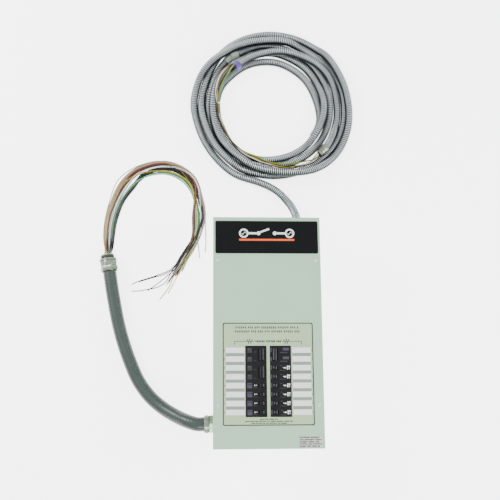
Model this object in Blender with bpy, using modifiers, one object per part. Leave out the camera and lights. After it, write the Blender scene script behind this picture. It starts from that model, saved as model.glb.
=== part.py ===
"""Transfer switch with an emergency load centre, lying on its back with its two whips on the floor.

Frame: metres, +Z out of the front cover, +Y towards the top end, +X to the right as the cover is
read.  The origin is the bottom centre of the enclosure's box.  The cover lifts off along +Z.
"""
import math

import bmesh
import bpy
from mathutils import Matrix, Vector

# ---- driving dimensions ----
WIDTH = 0.3175                    # cover, 12.5 in
HEIGHT = 0.6795                   # cover, 26.75 in
DEPTH = 0.178                     # wall to cover face, 7 in
PITCH = 0.0254                    # one breaker space, 1 in
ROWS = 8

GAP = 0.0003                      # between faces that touch
TUBE_GAP = 0.0012                 # between a tube's cut end and its fitting
COVER_T = 0.0015
COVER_LIP = 0.022
LIP_FIT = 0.0006                  # between the cover's lip and the box
BOX_T = 0.0019
FLANGE = 0.024                    # front return flange of the box
FOLD = 0.0005                     # rounding of a folded edge

WINDOW_W = 0.061                  # one breaker column's window in the cover
WINDOW_H = ROWS * PITCH + 0.0008
WINDOW_X = 0.0353                 # its centre, either side of the middle
WINDOW_Y = -0.14825

HEADER = (0.303, 0.096, 0.0012)   # nameplate
HEADER_Y = 0.27675
DIRECTORY = (0.262, 0.296, 0.0004)
DIRECTORY_Y = -0.12675
COVER_SCREWS = [(sx * 0.143, y) for y in (0.20725, -0.21675) for sx in (-1, 1)]

NOSE_TOP = DEPTH + 0.0015         # breaker face
BREAKER_L = 0.078                 # inner end to outer end
BREAKER_D = 0.060
NOSE_L = WINDOW_W - 0.0006
POLE_GAP = 0.0006
INNER_X = WINDOW_X - NOSE_L / 2   # inner end of a breaker
# rows are counted from the top; the second number is how many poles one breaker has
LEFT_BREAKERS = [(0, 2), (2, 2), (4, 1), (5, 1), (6, 1), (7, 1)]
RIGHT_BREAKERS = [(0, 2), (2, 1), (3, 1), (4, 1), (5, 1), (6, 1), (7, 1)]

HANDLE_U = 0.0150                 # handle pivot, from the breaker's inner end
HANDLE_Z = NOSE_TOP - 0.0060
HANDLE_DRUM_R = 0.0075
HANDLE_TIP = 0.0148               # pivot to tip
HANDLE_LEAN = math.radians(20)    # lean to the centre line when ON
HANDLE_W = 0.0088

BREAKER_Z0 = NOSE_TOP - BREAKER_D
BUS_Z0 = 0.1045
BUS_T = 0.0025
STAB_X = 0.0145
STAB_TOP = BREAKER_Z0 + 0.0080
RAIL_X = 0.0800
RAIL_T = 0.0015
SHELF_TOP = 0.0977

CARRIER = Vector((0.0, 0.180, 0.092))      # axis of the transfer mechanism, along X
CARRIER_R = 0.014
CARRIER_LEAN = math.radians(14)            # lean to the utility side at rest
PLUNGER_Z = 0.125
PLUNGER_R = 0.0045
ARM_HALF = 0.0058                          # plunger end to the middle of the arm

CONDUIT_R = 0.0211                # 1-1/4 in liquid-tight
THREAD_R = 0.0211                 # threaded end of its loose fitting, 42.2 mm
CONDUIT_EXIT = Vector((-0.1846, -0.266, 0.089))
CONDUIT_ROUTE = [CONDUIT_EXIT, (-0.205, -0.2660, 0.0890), (-0.234, -0.2570, 0.0790),
                 (-0.268, -0.2410, 0.0570), (-0.310, -0.2150, 0.0365), (-0.350, -0.1805, 0.0255),
                 (-0.3865, -0.1310, 0.0216), (-0.4145, -0.0690, 0.0214), (-0.4365, -0.0070, 0.0214),
                 (-0.4535, 0.0560, 0.0216), (-0.4636, 0.1050, 0.0225), (-0.4728, 0.1550, 0.0245),
                 (-0.4812, 0.2090, 0.0272)]
BUNDLE_R = 0.0120
BUNDLE_ROUTE = [(-0.4898, 0.2638, 0.0299), (-0.4919, 0.2780, 0.0306), (-0.4925, 0.3300, 0.0170),
                (-0.4860, 0.3970, 0.0125), (-0.4680, 0.4550, 0.0125), (-0.4340, 0.5050, 0.0125),
                (-0.3880, 0.5480, 0.0125), (-0.3320, 0.5690, 0.0125), (-0.2780, 0.5560, 0.0125),
                (-0.2360, 0.5150, 0.0125), (-0.2080, 0.4600, 0.0125), (-0.1960, 0.4050, 0.0125),
                (-0.2030, 0.3450, 0.0125), (-0.2330, 0.2840, 0.0125), (-0.2720, 0.2260, 0.0125)]
FMC_R = 0.0127                    # flexible metal conduit
FMC_EXIT = Vector((0.1010, 0.3623, 0.0775))
FMC_ROUTE = [FMC_EXIT, (0.1010, 0.3780, 0.0775), (0.0965, 0.4030, 0.0720), (0.0885, 0.4290, 0.0600),
             (0.0750, 0.4520, 0.0450), (0.0549, 0.4740, 0.0300), (0.0310, 0.4915, 0.0170),
             (0.0100, 0.5035, 0.0131)]
COIL_CENTRE = Vector((0.0290, 0.7820, 0.0))
COIL_R_OUT = 0.2610
COIL_R_IN = 0.1320
COIL_TOP = 0.0520
SLEEVE_AT = Vector((0.1960, 0.6110, 0.0370))   # fitting on the first conduit's end
SLEEVE_DIR = Vector((-0.715, -0.699, 0.0)).normalized()


# ---- scene ----
for old in list(bpy.data.objects):
    bpy.data.objects.remove(old, do_unlink=True)
parts = bpy.data.collections.new("transfer_switch")
cutters = bpy.data.collections.new("cutters")
bpy.context.scene.collection.children.link(parts)
bpy.context.scene.collection.children.link(cutters)


# ---- helpers ----
def material(name, colour, roughness, metallic=0.0):
    mat = bpy.data.materials.new(name)
    mat.use_nodes = True
    shader = mat.node_tree.nodes["Principled BSDF"]
    shader.inputs["Base Color"].default_value = (*colour, 1.0)
    shader.inputs["Roughness"].default_value = roughness
    shader.inputs["Metallic"].default_value = metallic
    return mat


ENAMEL = material("sage_enamel", (0.50, 0.58, 0.50), 0.45)
NAMEPLATE = material("black_nameplate", (0.006, 0.007, 0.009), 0.30)
LABEL = material("directory_film", (0.53, 0.60, 0.48), 0.50)
STEEL = material("zinc_steel", (0.62, 0.63, 0.62), 0.35, 1.0)
BUS_METAL = material("tinned_bus", (0.70, 0.70, 0.68), 0.30, 1.0)
COPPER = material("copper_winding", (0.62, 0.28, 0.14), 0.35, 1.0)
BREAKER = material("breaker_black", (0.010, 0.010, 0.012), 0.45)
HANDLE = material("handle_black", (0.016, 0.016, 0.019), 0.35)
PHENOLIC = material("phenolic", (0.05, 0.035, 0.028), 0.55)
INSULATOR = material("grey_insulator", (0.20, 0.21, 0.22), 0.60)
LEVER = material("red_lever", (0.45, 0.05, 0.03), 0.45)
PVC = material("conduit_pvc", (0.13, 0.16, 0.15), 0.50)
ZINC = material("zinc_die_cast", (0.60, 0.62, 0.60), 0.40, 1.0)
WIRE = material("wire_insulation", (0.10, 0.07, 0.05), 0.50)
FMC = material("galvanised_conduit", (0.45, 0.48, 0.47), 0.35, 1.0)


def add(name, mesh, mat, at=(0, 0, 0), collection=parts):
    """An object of this mesh, in its collection, smooth on its round faces."""
    obj = bpy.data.objects.new(name, mesh)
    obj.location = at
    collection.objects.link(obj)
    if mat is not None and not mesh.materials:
        mesh.materials.append(mat)
    if collection is cutters:
        obj.hide_render = True
        obj.display_type = "WIRE"
    else:
        mesh.shade_smooth()
        mesh.set_sharp_from_angle(angle=math.radians(35))
    return obj


def to_mesh(bm, name):
    mesh = bpy.data.meshes.new(name)
    bm.to_mesh(mesh)
    bm.free()
    return mesh


def block_mesh(name, low, high, corner=0.0, segments=3):
    """A box between two corners, with its four upright edges rounded when corner is given."""
    bm = bmesh.new()
    low, high = Vector(low), Vector(high)
    bmesh.ops.create_cube(bm, size=1.0)
    bmesh.ops.scale(bm, vec=high - low, verts=bm.verts)
    bmesh.ops.translate(bm, vec=(low + high) / 2, verts=bm.verts)
    if corner:
        upright = [e for e in bm.edges if abs(e.verts[0].co.z - e.verts[1].co.z) > 1e-6]
        bmesh.ops.bevel(bm, geom=upright, offset=corner, segments=segments, affect="EDGES")
    return to_mesh(bm, name)


def rod_mesh(name, start, end, radius, sides=16, far_radius=None):
    """A cylinder or cone, or a prism of few sides, from start to end."""
    start, end = Vector(start), Vector(end)
    along = end - start
    turn = Vector((0, 0, 1)).rotation_difference(along).to_matrix().to_4x4()
    bm = bmesh.new()
    bmesh.ops.create_cone(bm, cap_ends=True, segments=sides, radius1=radius,
                          radius2=radius if far_radius is None else far_radius, depth=along.length,
                          matrix=Matrix.Translation((start + end) / 2) @ turn)
    return to_mesh(bm, name)


def combine(obj, operation, others):
    """Boolean each mesh in others with obj; the operands go with the cutters."""
    for number, mesh in enumerate(others):
        tool = add(f"{obj.name}_{operation.lower()}_{number}", mesh, None, obj.location, cutters)
        step = obj.modifiers.new(f"{operation.lower()}_{number}", "BOOLEAN")
        step.operation = operation
        step.object = tool
        step.solver = "EXACT"
    return obj


def sheet_box(name, low, high, open_side, mat, thickness, flange=0.0):
    """A folded sheet-metal box: one Z side open, or turned in by a flange all round."""
    low, high = Vector(low), Vector(high)
    bm = bmesh.new()
    bmesh.ops.create_cube(bm, size=1.0)
    bmesh.ops.scale(bm, vec=high - low, verts=bm.verts)
    bmesh.ops.translate(bm, vec=(low + high) / 2, verts=bm.verts)
    end = [f for f in bm.faces if f.normal.z * open_side > 0.9]
    if flange:
        bmesh.ops.inset_region(bm, faces=end, thickness=flange)
    bmesh.ops.delete(bm, geom=end, context="FACES")
    obj = add(name, to_mesh(bm, name), mat)
    shell = obj.modifiers.new("sheet", "SOLIDIFY")
    shell.thickness = thickness
    shell.offset = -1.0
    shell.use_even_offset = True
    edge = obj.modifiers.new("folded_edge", "BEVEL")
    edge.width = FOLD
    edge.segments = 2
    return obj


def outline(name, points, half_width, mat):
    """An outline in the XZ plane, given to both sides of y = 0 by half_width, as a mesh."""
    curve = bpy.data.curves.new(name, "CURVE")
    curve.dimensions = "2D"
    curve.fill_mode = "BOTH"
    curve.extrude = half_width
    spline = curve.splines.new("POLY")
    spline.points.add(len(points) - 1)
    for point, (x, z) in zip(spline.points, points):
        point.co = (x, z, 0.0, 1.0)
    spline.use_cyclic_u = True
    flat = bpy.data.objects.new(name, curve)
    parts.objects.link(flat)
    mesh = bpy.data.meshes.new_from_object(flat.evaluated_get(bpy.context.evaluated_depsgraph_get()))
    bpy.data.objects.remove(flat, do_unlink=True)
    bm = bmesh.new()
    bm.from_mesh(mesh)
    bpy.data.meshes.remove(mesh)
    bmesh.ops.remove_doubles(bm, verts=bm.verts, dist=1e-6)
    bmesh.ops.transform(bm, matrix=Matrix.Rotation(math.radians(90), 4, "X"), verts=bm.verts)
    bmesh.ops.recalc_face_normals(bm, faces=bm.faces)
    made = to_mesh(bm, name)
    made.materials.clear()
    made.materials.append(mat)
    return made


def smooth_route(points, spacing):
    """Points about this far apart on a smooth curve through the route's own points."""
    points = [Vector(p) for p in points]
    points = [2 * points[0] - points[1]] + points + [2 * points[-1] - points[-2]]
    fine = []
    for a, b, c, d in zip(points, points[1:], points[2:], points[3:]):
        for step in range(12):
            t = step / 12
            fine.append(0.5 * (2 * b + (c - a) * t + (2 * a - 5 * b + 4 * c - d) * t ** 2
                               + (3 * b - a - 3 * c + d) * t ** 3))
    fine.append(points[-2])
    gone = [0.0]
    for a, b in zip(fine, fine[1:]):
        gone.append(gone[-1] + (b - a).length)
    count = max(2, round(gone[-1] / spacing))
    shares = [0.0, 0.1 / count] + [number / count for number in range(1, count)] + [1 - 0.1 / count, 1.0]
    placed = []
    index = 0
    for share in shares:
        target = gone[-1] * share
        while index < len(gone) - 2 and gone[index + 1] < target:
            index += 1
        part_way = (target - gone[index]) / (gone[index + 1] - gone[index])
        placed.append(fine[index].lerp(fine[index + 1], min(1.0, part_way)))
    return placed


def tube(name, route, radius, spacing, resolution, mat):
    """A plain tube along a route, with flat ends."""
    curve = bpy.data.curves.new(name, "CURVE")
    curve.dimensions = "3D"
    curve.bevel_depth = radius
    curve.bevel_resolution = resolution
    curve.use_fill_caps = True
    placed = smooth_route(route, spacing)
    spline = curve.splines.new("POLY")
    spline.points.add(len(placed) - 1)
    for point, place in zip(spline.points, placed):
        point.co = (*place, 1.0)
    curve.materials.append(mat)
    obj = bpy.data.objects.new(name, curve)
    parts.objects.link(obj)
    return obj


# ---- enclosure and cover ----
def enclosure():
    inset = COVER_T + LIP_FIT
    half_w, half_h = WIDTH / 2 - inset, HEIGHT / 2 - inset
    box = sheet_box("enclosure_box", (-half_w, -half_h, 0), (half_w, half_h, DEPTH - COVER_T - GAP),
                    1, ENAMEL, BOX_T, flange=FLANGE)
    holes = [rod_mesh("pilot", (x, y, DEPTH - 0.008), (x, y, DEPTH + 0.002), 0.0023, 12)
             for x, y in COVER_SCREWS]
    holes.append(rod_mesh("whip_hole", CONDUIT_EXIT + Vector((0.015, 0, 0)),
                          CONDUIT_EXIT + Vector((0.040, 0, 0)), 0.0220, 24))
    holes.append(rod_mesh("fmc_hole", FMC_EXIT - Vector((0, 0.015, 0)),
                          FMC_EXIT - Vector((0, 0.035, 0)), 0.0115, 24))
    for x in (-0.110, 0.110):
        for y in (-0.300, 0.305):
            holes.append(rod_mesh("keyhole", (x, y, -0.003), (x, y, 0.006), 0.0045, 12))
    combine(box, "DIFFERENCE", holes)


def window_meshes(low, high, clear=0.0):
    return [block_mesh("window", (sx * WINDOW_X - WINDOW_W / 2 - clear, WINDOW_Y - WINDOW_H / 2 - clear,
                                  low),
                       (sx * WINDOW_X + WINDOW_W / 2 + clear, WINDOW_Y + WINDOW_H / 2 + clear, high))
            for sx in (-1, 1)]


def cover():
    tray = sheet_box("front_cover", (-WIDTH / 2, -HEIGHT / 2, DEPTH - COVER_LIP),
                     (WIDTH / 2, HEIGHT / 2, DEPTH), -1, ENAMEL, COVER_T)
    cuts = window_meshes(DEPTH - 0.010, DEPTH + 0.010)
    cuts += [rod_mesh("screw_hole", (x, y, DEPTH - 0.006), (x, y, DEPTH + 0.006), 0.0025, 12)
             for x, y in COVER_SCREWS]
    combine(tray, "DIFFERENCE", cuts)
    for name, size, y, corner, mat in (("header_plate", HEADER, HEADER_Y, 0.005, NAMEPLATE),
                                       ("directory_plate", DIRECTORY, DIRECTORY_Y, 0.006, LABEL)):
        base = DEPTH + GAP
        plate = add(name, block_mesh(name, (-size[0] / 2, y - size[1] / 2, base),
                                     (size[0] / 2, y + size[1] / 2, base + size[2]), corner), mat)
        if mat is LABEL:
            combine(plate, "DIFFERENCE", window_meshes(DEPTH - 0.010, DEPTH + 0.010, GAP))


def cover_screw(number, x, y):
    """A pan-head screw with a slotted head, its origin where its head meets the cover."""
    profile = [(0.0, 0.0027), (0.0018, 0.0026), (0.0036, 0.0019), (0.0047, 0.0007), (0.0047, 0.0),
               (0.0019, 0.0), (0.0019, -0.0125), (0.0, -0.0140)]
    bm = bmesh.new()
    row = [bm.verts.new((r, 0.0, z)) for r, z in profile]
    for a, b in zip(row, row[1:]):
        bm.edges.new((a, b))
    screw = add(f"cover_screw_{number}", to_mesh(bm, "cover_screw"), STEEL, (x, y, DEPTH + GAP))
    turned = screw.modifiers.new("turned", "SCREW")
    turned.steps = turned.render_steps = 16
    turned.use_merge_vertices = True
    turned.merge_threshold = 0.00005
    combine(screw, "DIFFERENCE", [block_mesh("slot", (-0.006, -0.0006, 0.0014), (0.006, 0.0006, 0.004))])


# ---- breakers ----
def row_y(row, poles):
    return WINDOW_Y + ((ROWS - poles) / 2 - row) * PITCH


def breaker(name, side, row, poles):
    """One breaker's case: nose through the cover, shoulder and foot below it, jaw at its inner end."""
    half = poles * PITCH / 2 - POLE_GAP / 2
    z0, top = BREAKER_Z0, NOSE_TOP
    jaw = STAB_X - INNER_X
    profile = [(0.0, z0 + 0.006), (0.0, top), (NOSE_L, top), (NOSE_L, top - 0.012),
               (BREAKER_L - 0.004, top - 0.012), (BREAKER_L, top - 0.018), (BREAKER_L, z0 + 0.012),
               (BREAKER_L - 0.006, z0 + 0.004), (BREAKER_L - 0.006, z0), (jaw + 0.0018, z0),
               (jaw + 0.0018, z0 + 0.0105), (jaw - 0.0018, z0 + 0.0105), (jaw - 0.0018, z0),
               (0.006, z0)]
    case = add(name, outline(name, [(side * (INNER_X + u), z) for u, z in profile], half, BREAKER),
               BREAKER, (0, row_y(row, poles), 0))
    pivot = side * (INNER_X + HANDLE_U)
    slot_half = handle_half(poles) + 0.0005
    drum = HANDLE_DRUM_R + 0.0005
    slots = [rod_mesh("drum_slot", (pivot, -slot_half, HANDLE_Z), (pivot, slot_half, HANDLE_Z), drum, 20),
             block_mesh("handle_slot", (pivot - drum + 0.0002, -slot_half, HANDLE_Z),
                        (pivot + drum - 0.0002, slot_half, top + 0.004))]
    seam = 0.0004
    if poles == 2:
        slots.append(block_mesh("pole_seam", (-0.1, -seam, top - 0.0008), (0.1, seam, top + 0.004)))
    combine(case, "DIFFERENCE", slots)


def handle_half(poles):
    return HANDLE_W / 2 if poles == 1 else PITCH / 2 + HANDLE_W / 2


def handle_mesh(poles):
    """A drum on the pivot and a tapered finger; two poles have one wide handle."""
    half = handle_half(poles)
    bm = bmesh.new()
    bm.from_mesh(rod_mesh("finger", (0, 0, 0), (0, 0, HANDLE_TIP), 0.0046, 4, 0.0034))
    bmesh.ops.transform(bm, matrix=Matrix.Rotation(math.radians(45), 4, "Z"), verts=bm.verts)
    for vert in bm.verts:
        vert.co.y = math.copysign(half - 0.0002, vert.co.y)
    return to_mesh(bm, "finger")


def handle(name, side, row, poles):
    half = handle_half(poles)
    at = (side * (INNER_X + HANDLE_U), row_y(row, poles), HANDLE_Z)
    obj = add(name, rod_mesh(name, (0, -half, 0), (0, half, 0), HANDLE_DRUM_R, 20), HANDLE, at)
    combine(obj, "UNION", [handle_mesh(poles)])
    lean = -side * HANDLE_LEAN
    obj.rotation_euler = (0, lean, 0)
    for step in obj.modifiers:
        step.object.rotation_euler = obj.rotation_euler


def breakers():
    number = 0
    for side, rows in ((-1, LEFT_BREAKERS), (1, RIGHT_BREAKERS)):
        for row, poles in rows:
            number += 1
            breaker(f"breaker_{number:02d}", side, row, poles)
            handle(f"breaker_handle_{number:02d}", side, row, poles)


# ---- load centre interior ----
def interior():
    y0, y1 = WINDOW_Y - WINDOW_H / 2 - 0.012, WINDOW_Y + WINDOW_H / 2 + 0.012
    middle, half = (y0 + y1) / 2, (y1 - y0) / 2
    foot = BOX_T + GAP
    for side, name in ((-1, "interior_rail_left"), (1, "interior_rail_right")):
        section = [(0.0, foot), (0.016, foot), (0.016, foot + RAIL_T), (RAIL_T, foot + RAIL_T),
                   (RAIL_T, BREAKER_Z0 - GAP), (0.0, BREAKER_Z0 - GAP), (0.0, SHELF_TOP),
                   (-0.022, SHELF_TOP), (-0.022, SHELF_TOP - RAIL_T), (0.0, SHELF_TOP - RAIL_T)]
        rail = outline(name, [(side * (RAIL_X - 0.010 + x), z) for x, z in section], half, STEEL)
        add(name, rail, STEEL, (0, middle, 0))
    base = add("bus_base", block_mesh("bus_base", (-0.0690, y0, SHELF_TOP + GAP),
                                      (0.0690, y1, BUS_Z0 - GAP), 0.004), INSULATOR)
    ribs = [block_mesh("rib", (-0.003, y0 + 0.004, BUS_Z0 - 0.001), (0.003, y1 - 0.004, BUS_Z0 + 0.0))]
    combine(base, "DIFFERENCE", ribs)
    for side, name, first in ((-1, "line_bus_1", 0), (1, "line_bus_2", 1)):
        bar = add(name, block_mesh(name, (side * 0.028 - 0.006, y0 + 0.006, BUS_Z0),
                                   (side * 0.028 + 0.006, y1 + 0.030, BUS_Z0 + BUS_T)), BUS_METAL)
        joined = []
        for row in range(first, ROWS, 2):
            y = row_y(row, 1)
            ends = sorted((side * 0.024, -side * (STAB_X + 0.0012)))
            joined.append(block_mesh("arm", (ends[0], y - 0.005, BUS_Z0),
                                     (ends[1], y + 0.005, BUS_Z0 + BUS_T)))
            for x in (-STAB_X, STAB_X):
                joined.append(block_mesh("stab", (x - 0.0008, y - 0.0045, BUS_Z0 + 0.001),
                                         (x + 0.0008, y + 0.0045, STAB_TOP)))
        combine(bar, "UNION", joined)


def terminal_bar(name, x, y0, y1, z0, screws, holder=0.0):
    """A bar of clamp screws along Y with wire holes through it; holder is its insulator's height."""
    height, half = 0.011, 0.0055
    bar = add(name, block_mesh(name, (x - half, y0, z0), (x + half, y1, z0 + height)), BUS_METAL)
    pitch = (y1 - y0) / screws
    heads, holes = [], []
    for number in range(screws):
        y = y0 + (number + 0.5) * pitch
        heads.append(rod_mesh("head", (x, y, z0 + height - 0.001), (x, y, z0 + height + 0.003), 0.0032, 8))
        holes.append(rod_mesh("wire_hole", (x - 0.02, y, z0 + 0.005), (x + 0.02, y, z0 + 0.005), 0.0026, 8))
    combine(bar, "UNION", heads)
    combine(bar, "DIFFERENCE", holes)
    if holder:
        foot = BOX_T + GAP
        add("neutral_insulator", block_mesh("neutral_insulator", (x - 0.009, y0 - 0.004, foot),
                                            (x + 0.009, y1 + 0.004, foot + holder)), INSULATOR)


# ---- transfer mechanism ----
def transfer_switch():
    foot = BOX_T + GAP
    plate_z = 0.0262
    plate = add("transfer_base", block_mesh("transfer_base", (-0.095, 0.072, plate_z),
                                            (0.095, 0.288, plate_z + 0.003), 0.006), STEEL)
    combine(plate, "UNION", [rod_mesh("standoff", (x, y, foot), (x, y, plate_z + 0.0015), 0.006, 12)
                             for x in (-0.085, 0.085) for y in (0.082, 0.278)])
    floor = plate_z + 0.003 + GAP
    housing = add("contact_housing", block_mesh("contact_housing", (-0.086, 0.128, floor),
                                                (0.086, 0.232, 0.075)), PHENOLIC)
    cheeks = [block_mesh("cheek", (side * 0.082 - 0.004, 0.160, 0.060),
                         (side * 0.082 + 0.004, 0.200, 0.108)) for side in (-1, 1)]
    combine(housing, "UNION", cheeks)
    chutes = [block_mesh("chute", (x - 0.011, y, 0.052), (x + 0.011, y + 0.006, 0.080))
              for x in (-0.057, -0.019, 0.019, 0.057) for y in (0.136, 0.148, 0.206, 0.218)]
    chutes.append(rod_mesh("bearing", (-0.1, CARRIER.y, CARRIER.z), (0.1, CARRIER.y, CARRIER.z),
                           0.0053, 16))
    combine(housing, "DIFFERENCE", chutes)

    carrier = add("contact_carrier", rod_mesh("contact_carrier", (-0.0770, 0, 0), (0.0770, 0, 0),
                                              CARRIER_R, 20), PHENOLIC, CARRIER)
    pieces = [rod_mesh("pin", (-0.0875, 0, 0), (0.0875, 0, 0), 0.0050, 16),
              block_mesh("arm", (-0.005, -0.004, 0.008), (0.005, 0.004, 0.046))]
    pieces += [block_mesh("finger", (x - 0.008, -0.018, -0.002), (x + 0.008, 0.018, 0.002))
               for x in (-0.057, -0.030, 0.030)]
    combine(carrier, "UNION", pieces)
    lever = add("manual_lever", block_mesh("manual_lever", (0.045, -0.006, CARRIER_R + GAP),
                                           (0.061, 0.006, 0.068), 0.003), LEVER, CARRIER)
    for obj in (carrier, lever):
        obj.rotation_euler = (-CARRIER_LEAN, 0, 0)
    for step in carrier.modifiers:
        step.object.rotation_euler = carrier.rotation_euler

    arm_y = CARRIER.y + (PLUNGER_Z - CARRIER.z) * math.tan(CARRIER_LEAN)
    for name, side, near, far in (("utility", 1, 0.222, 0.268), ("standby", -1, 0.138, 0.092)):
        low, high = sorted((near, far))
        coil = add(f"{name}_coil", rod_mesh(f"{name}_coil", (0, low + 0.001, PLUNGER_Z),
                                            (0, high - 0.001, PLUNGER_Z), 0.0225, 24), COPPER)
        outer = (far, far + side * 0.003)
        frame = [block_mesh("yoke", (-0.028, y - 0.0015, PLUNGER_Z - 0.028),
                            (0.028, y + 0.0015, PLUNGER_Z + 0.027)) for y in (near, far)]
        frame.append(block_mesh("leg", (-0.028, min(outer) - 0.0010, floor),
                                (0.028, max(outer) + 0.0010, PLUNGER_Z)))
        combine(coil, "UNION", frame)
        combine(coil, "DIFFERENCE", [rod_mesh("bore", (0, 0.05, PLUNGER_Z), (0, 0.31, PLUNGER_Z),
                                              PLUNGER_R + 0.0005, 16)])
        start = arm_y + side * ARM_HALF
        add(f"{name}_plunger", rod_mesh(f"{name}_plunger", (0, 0, 0), (0, side * 0.060, 0), PLUNGER_R, 16),
            STEEL, (0, start, PLUNGER_Z))

    relay = add("transfer_relay", block_mesh("transfer_relay", (0.106, 0.090, foot), (0.134, 0.128, 0.020)),
                INSULATOR)
    combine(relay, "UNION", [block_mesh("case", (0.109, 0.095, 0.018), (0.131, 0.123, 0.055))])
    fuses = add("fuse_block", block_mesh("fuse_block", (-0.136, 0.085, foot), (-0.102, 0.165, 0.018)),
                PHENOLIC)
    combine(fuses, "UNION", [rod_mesh("fuse", (-0.132, y, 0.022), (-0.106, y, 0.022), 0.0052, 12)
                             for y in (0.098, 0.116, 0.134, 0.152)])


# ---- whips ----
def whips():
    wall = -(WIDTH / 2 - COVER_T - LIP_FIT)
    at = CONDUIT_EXIT
    nut = add("conduit_connector", rod_mesh("conduit_connector", (wall - GAP, at.y, at.z),
                                            (wall - 0.0140, at.y, at.z), 0.0290, 6), ZINC)
    combine(nut, "UNION", [
        rod_mesh("gland", (wall - 0.0130, at.y, at.z), (at.x + TUBE_GAP, at.y, at.z), 0.0265, 24,
                 0.0240),
        rod_mesh("thread", (wall - 0.0040, at.y, at.z), (wall + 0.0100, at.y, at.z), 0.0205, 24),
        rod_mesh("locknut", (wall + BOX_T + GAP, at.y, at.z), (wall + 0.0070, at.y, at.z), 0.0265, 8)])
    combine(nut, "DIFFERENCE", [rod_mesh("throat", (wall + 0.02, at.y, at.z),
                                         (wall - 0.010, at.y, at.z), 0.0170, 24)])
    tube("liquidtight_conduit", CONDUIT_ROUTE, CONDUIT_R, 0.042, 4, PVC)

    end = Vector(CONDUIT_ROUTE[-1])
    along = (end - Vector(CONDUIT_ROUTE[-2])).normalized()
    ring = add("conduit_end_fitting", rod_mesh("conduit_end_fitting", end + along * TUBE_GAP,
                                               end + along * 0.0300, 0.0266, 6), ZINC)
    combine(ring, "UNION", [rod_mesh("thread", end + along * 0.0290, end + along * 0.0530, THREAD_R, 24),
                            rod_mesh("flange", end + along * 0.0330, end + along * 0.0400, 0.0262, 24)])
    tube("wire_bundle", BUNDLE_ROUTE, BUNDLE_R, 0.036, 2, WIRE)

    at = FMC_EXIT
    wall = HEIGHT / 2 - COVER_T - LIP_FIT
    hub = add("fmc_connector", rod_mesh("fmc_connector", (at.x, wall + GAP, at.z),
                                        (at.x, at.y - TUBE_GAP, at.z), 0.0170, 20), ZINC)
    combine(hub, "UNION", [
        rod_mesh("thread", (at.x, wall + 0.004, at.z), (at.x, wall - 0.0100, at.z), 0.0105, 20),
        rod_mesh("locknut", (at.x, wall - BOX_T - GAP, at.z), (at.x, wall - 0.0060, at.z), 0.0155, 8)])
    combine(hub, "DIFFERENCE", [rod_mesh("throat", (at.x, wall + 0.010, at.z), (at.x, wall - 0.02, at.z),
                                         0.0080, 20)])
    tube("fmc_lead", FMC_ROUTE, FMC_R, 0.024, 4, FMC)
    coil_ring()


def coil_ring():
    """The outer shape of the coiled conduit: a turned ring, with a pocket for the end fitting."""
    corner = 0.010
    turns = [math.radians(a) for a in (90, 45, 0)]
    outer = [(COIL_R_OUT - corner + corner * math.cos(a), COIL_TOP - corner + corner * math.sin(a))
             for a in turns]
    inner = [(COIL_R_IN + corner - corner * math.cos(a), COIL_TOP - corner + corner * math.sin(a))
             for a in reversed(turns)]
    profile = outer + [(COIL_R_OUT, GAP), (COIL_R_IN, GAP)] + inner
    bm = bmesh.new()
    row = [bm.verts.new((r, 0.0, z)) for r, z in profile]
    for a, b in zip(row, row[1:] + row[:1]):
        bm.edges.new((a, b))
    ring = add("fmc_coil", to_mesh(bm, "fmc_coil"), FMC, COIL_CENTRE)
    turned = ring.modifiers.new("turned", "SCREW")
    turned.steps = turned.render_steps = 48
    turned.use_merge_vertices = True
    turned.merge_threshold = 0.00005
    reach, deep = 0.0210, 0.0165
    local = SLEEVE_AT - COIL_CENTRE
    turn = math.atan2(SLEEVE_DIR.y, SLEEVE_DIR.x)
    pocket = block_mesh("pocket", (-reach, -deep, -deep), (reach, deep, 0.040))
    pocket.transform(Matrix.Translation(local) @ Matrix.Rotation(turn, 4, "Z"))
    combine(ring, "DIFFERENCE", [pocket])
    half = SLEEVE_DIR * 0.0160
    sleeve = add("fmc_end_fitting", rod_mesh("fmc_end_fitting", SLEEVE_AT - half, SLEEVE_AT + half,
                                             0.0150, 20), ZINC)
    combine(sleeve, "DIFFERENCE", [rod_mesh("throat", SLEEVE_AT, SLEEVE_AT + 2 * half, 0.0105, 20)])


enclosure()
cover()
for count, (screw_x, screw_y) in enumerate(COVER_SCREWS, 1):
    cover_screw(count, screw_x, screw_y)
breakers()
interior()
terminal_bar("neutral_bar", 0.122, -0.250, -0.060, 0.0245, 14, holder=0.022)
terminal_bar("ground_bar", -0.132, -0.190, -0.040, BOX_T + GAP, 11)
transfer_switch()
whips()
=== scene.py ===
"""Looks of the transfer switch: its enamelled box, printed cover, breakers, whips and coiled conduit.

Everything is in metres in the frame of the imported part: +Z out of the cover, +Y towards the top end.
"""
import math
import random

import bmesh
import bpy
import numpy as np
from mathutils import Matrix, Vector, kdtree


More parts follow.
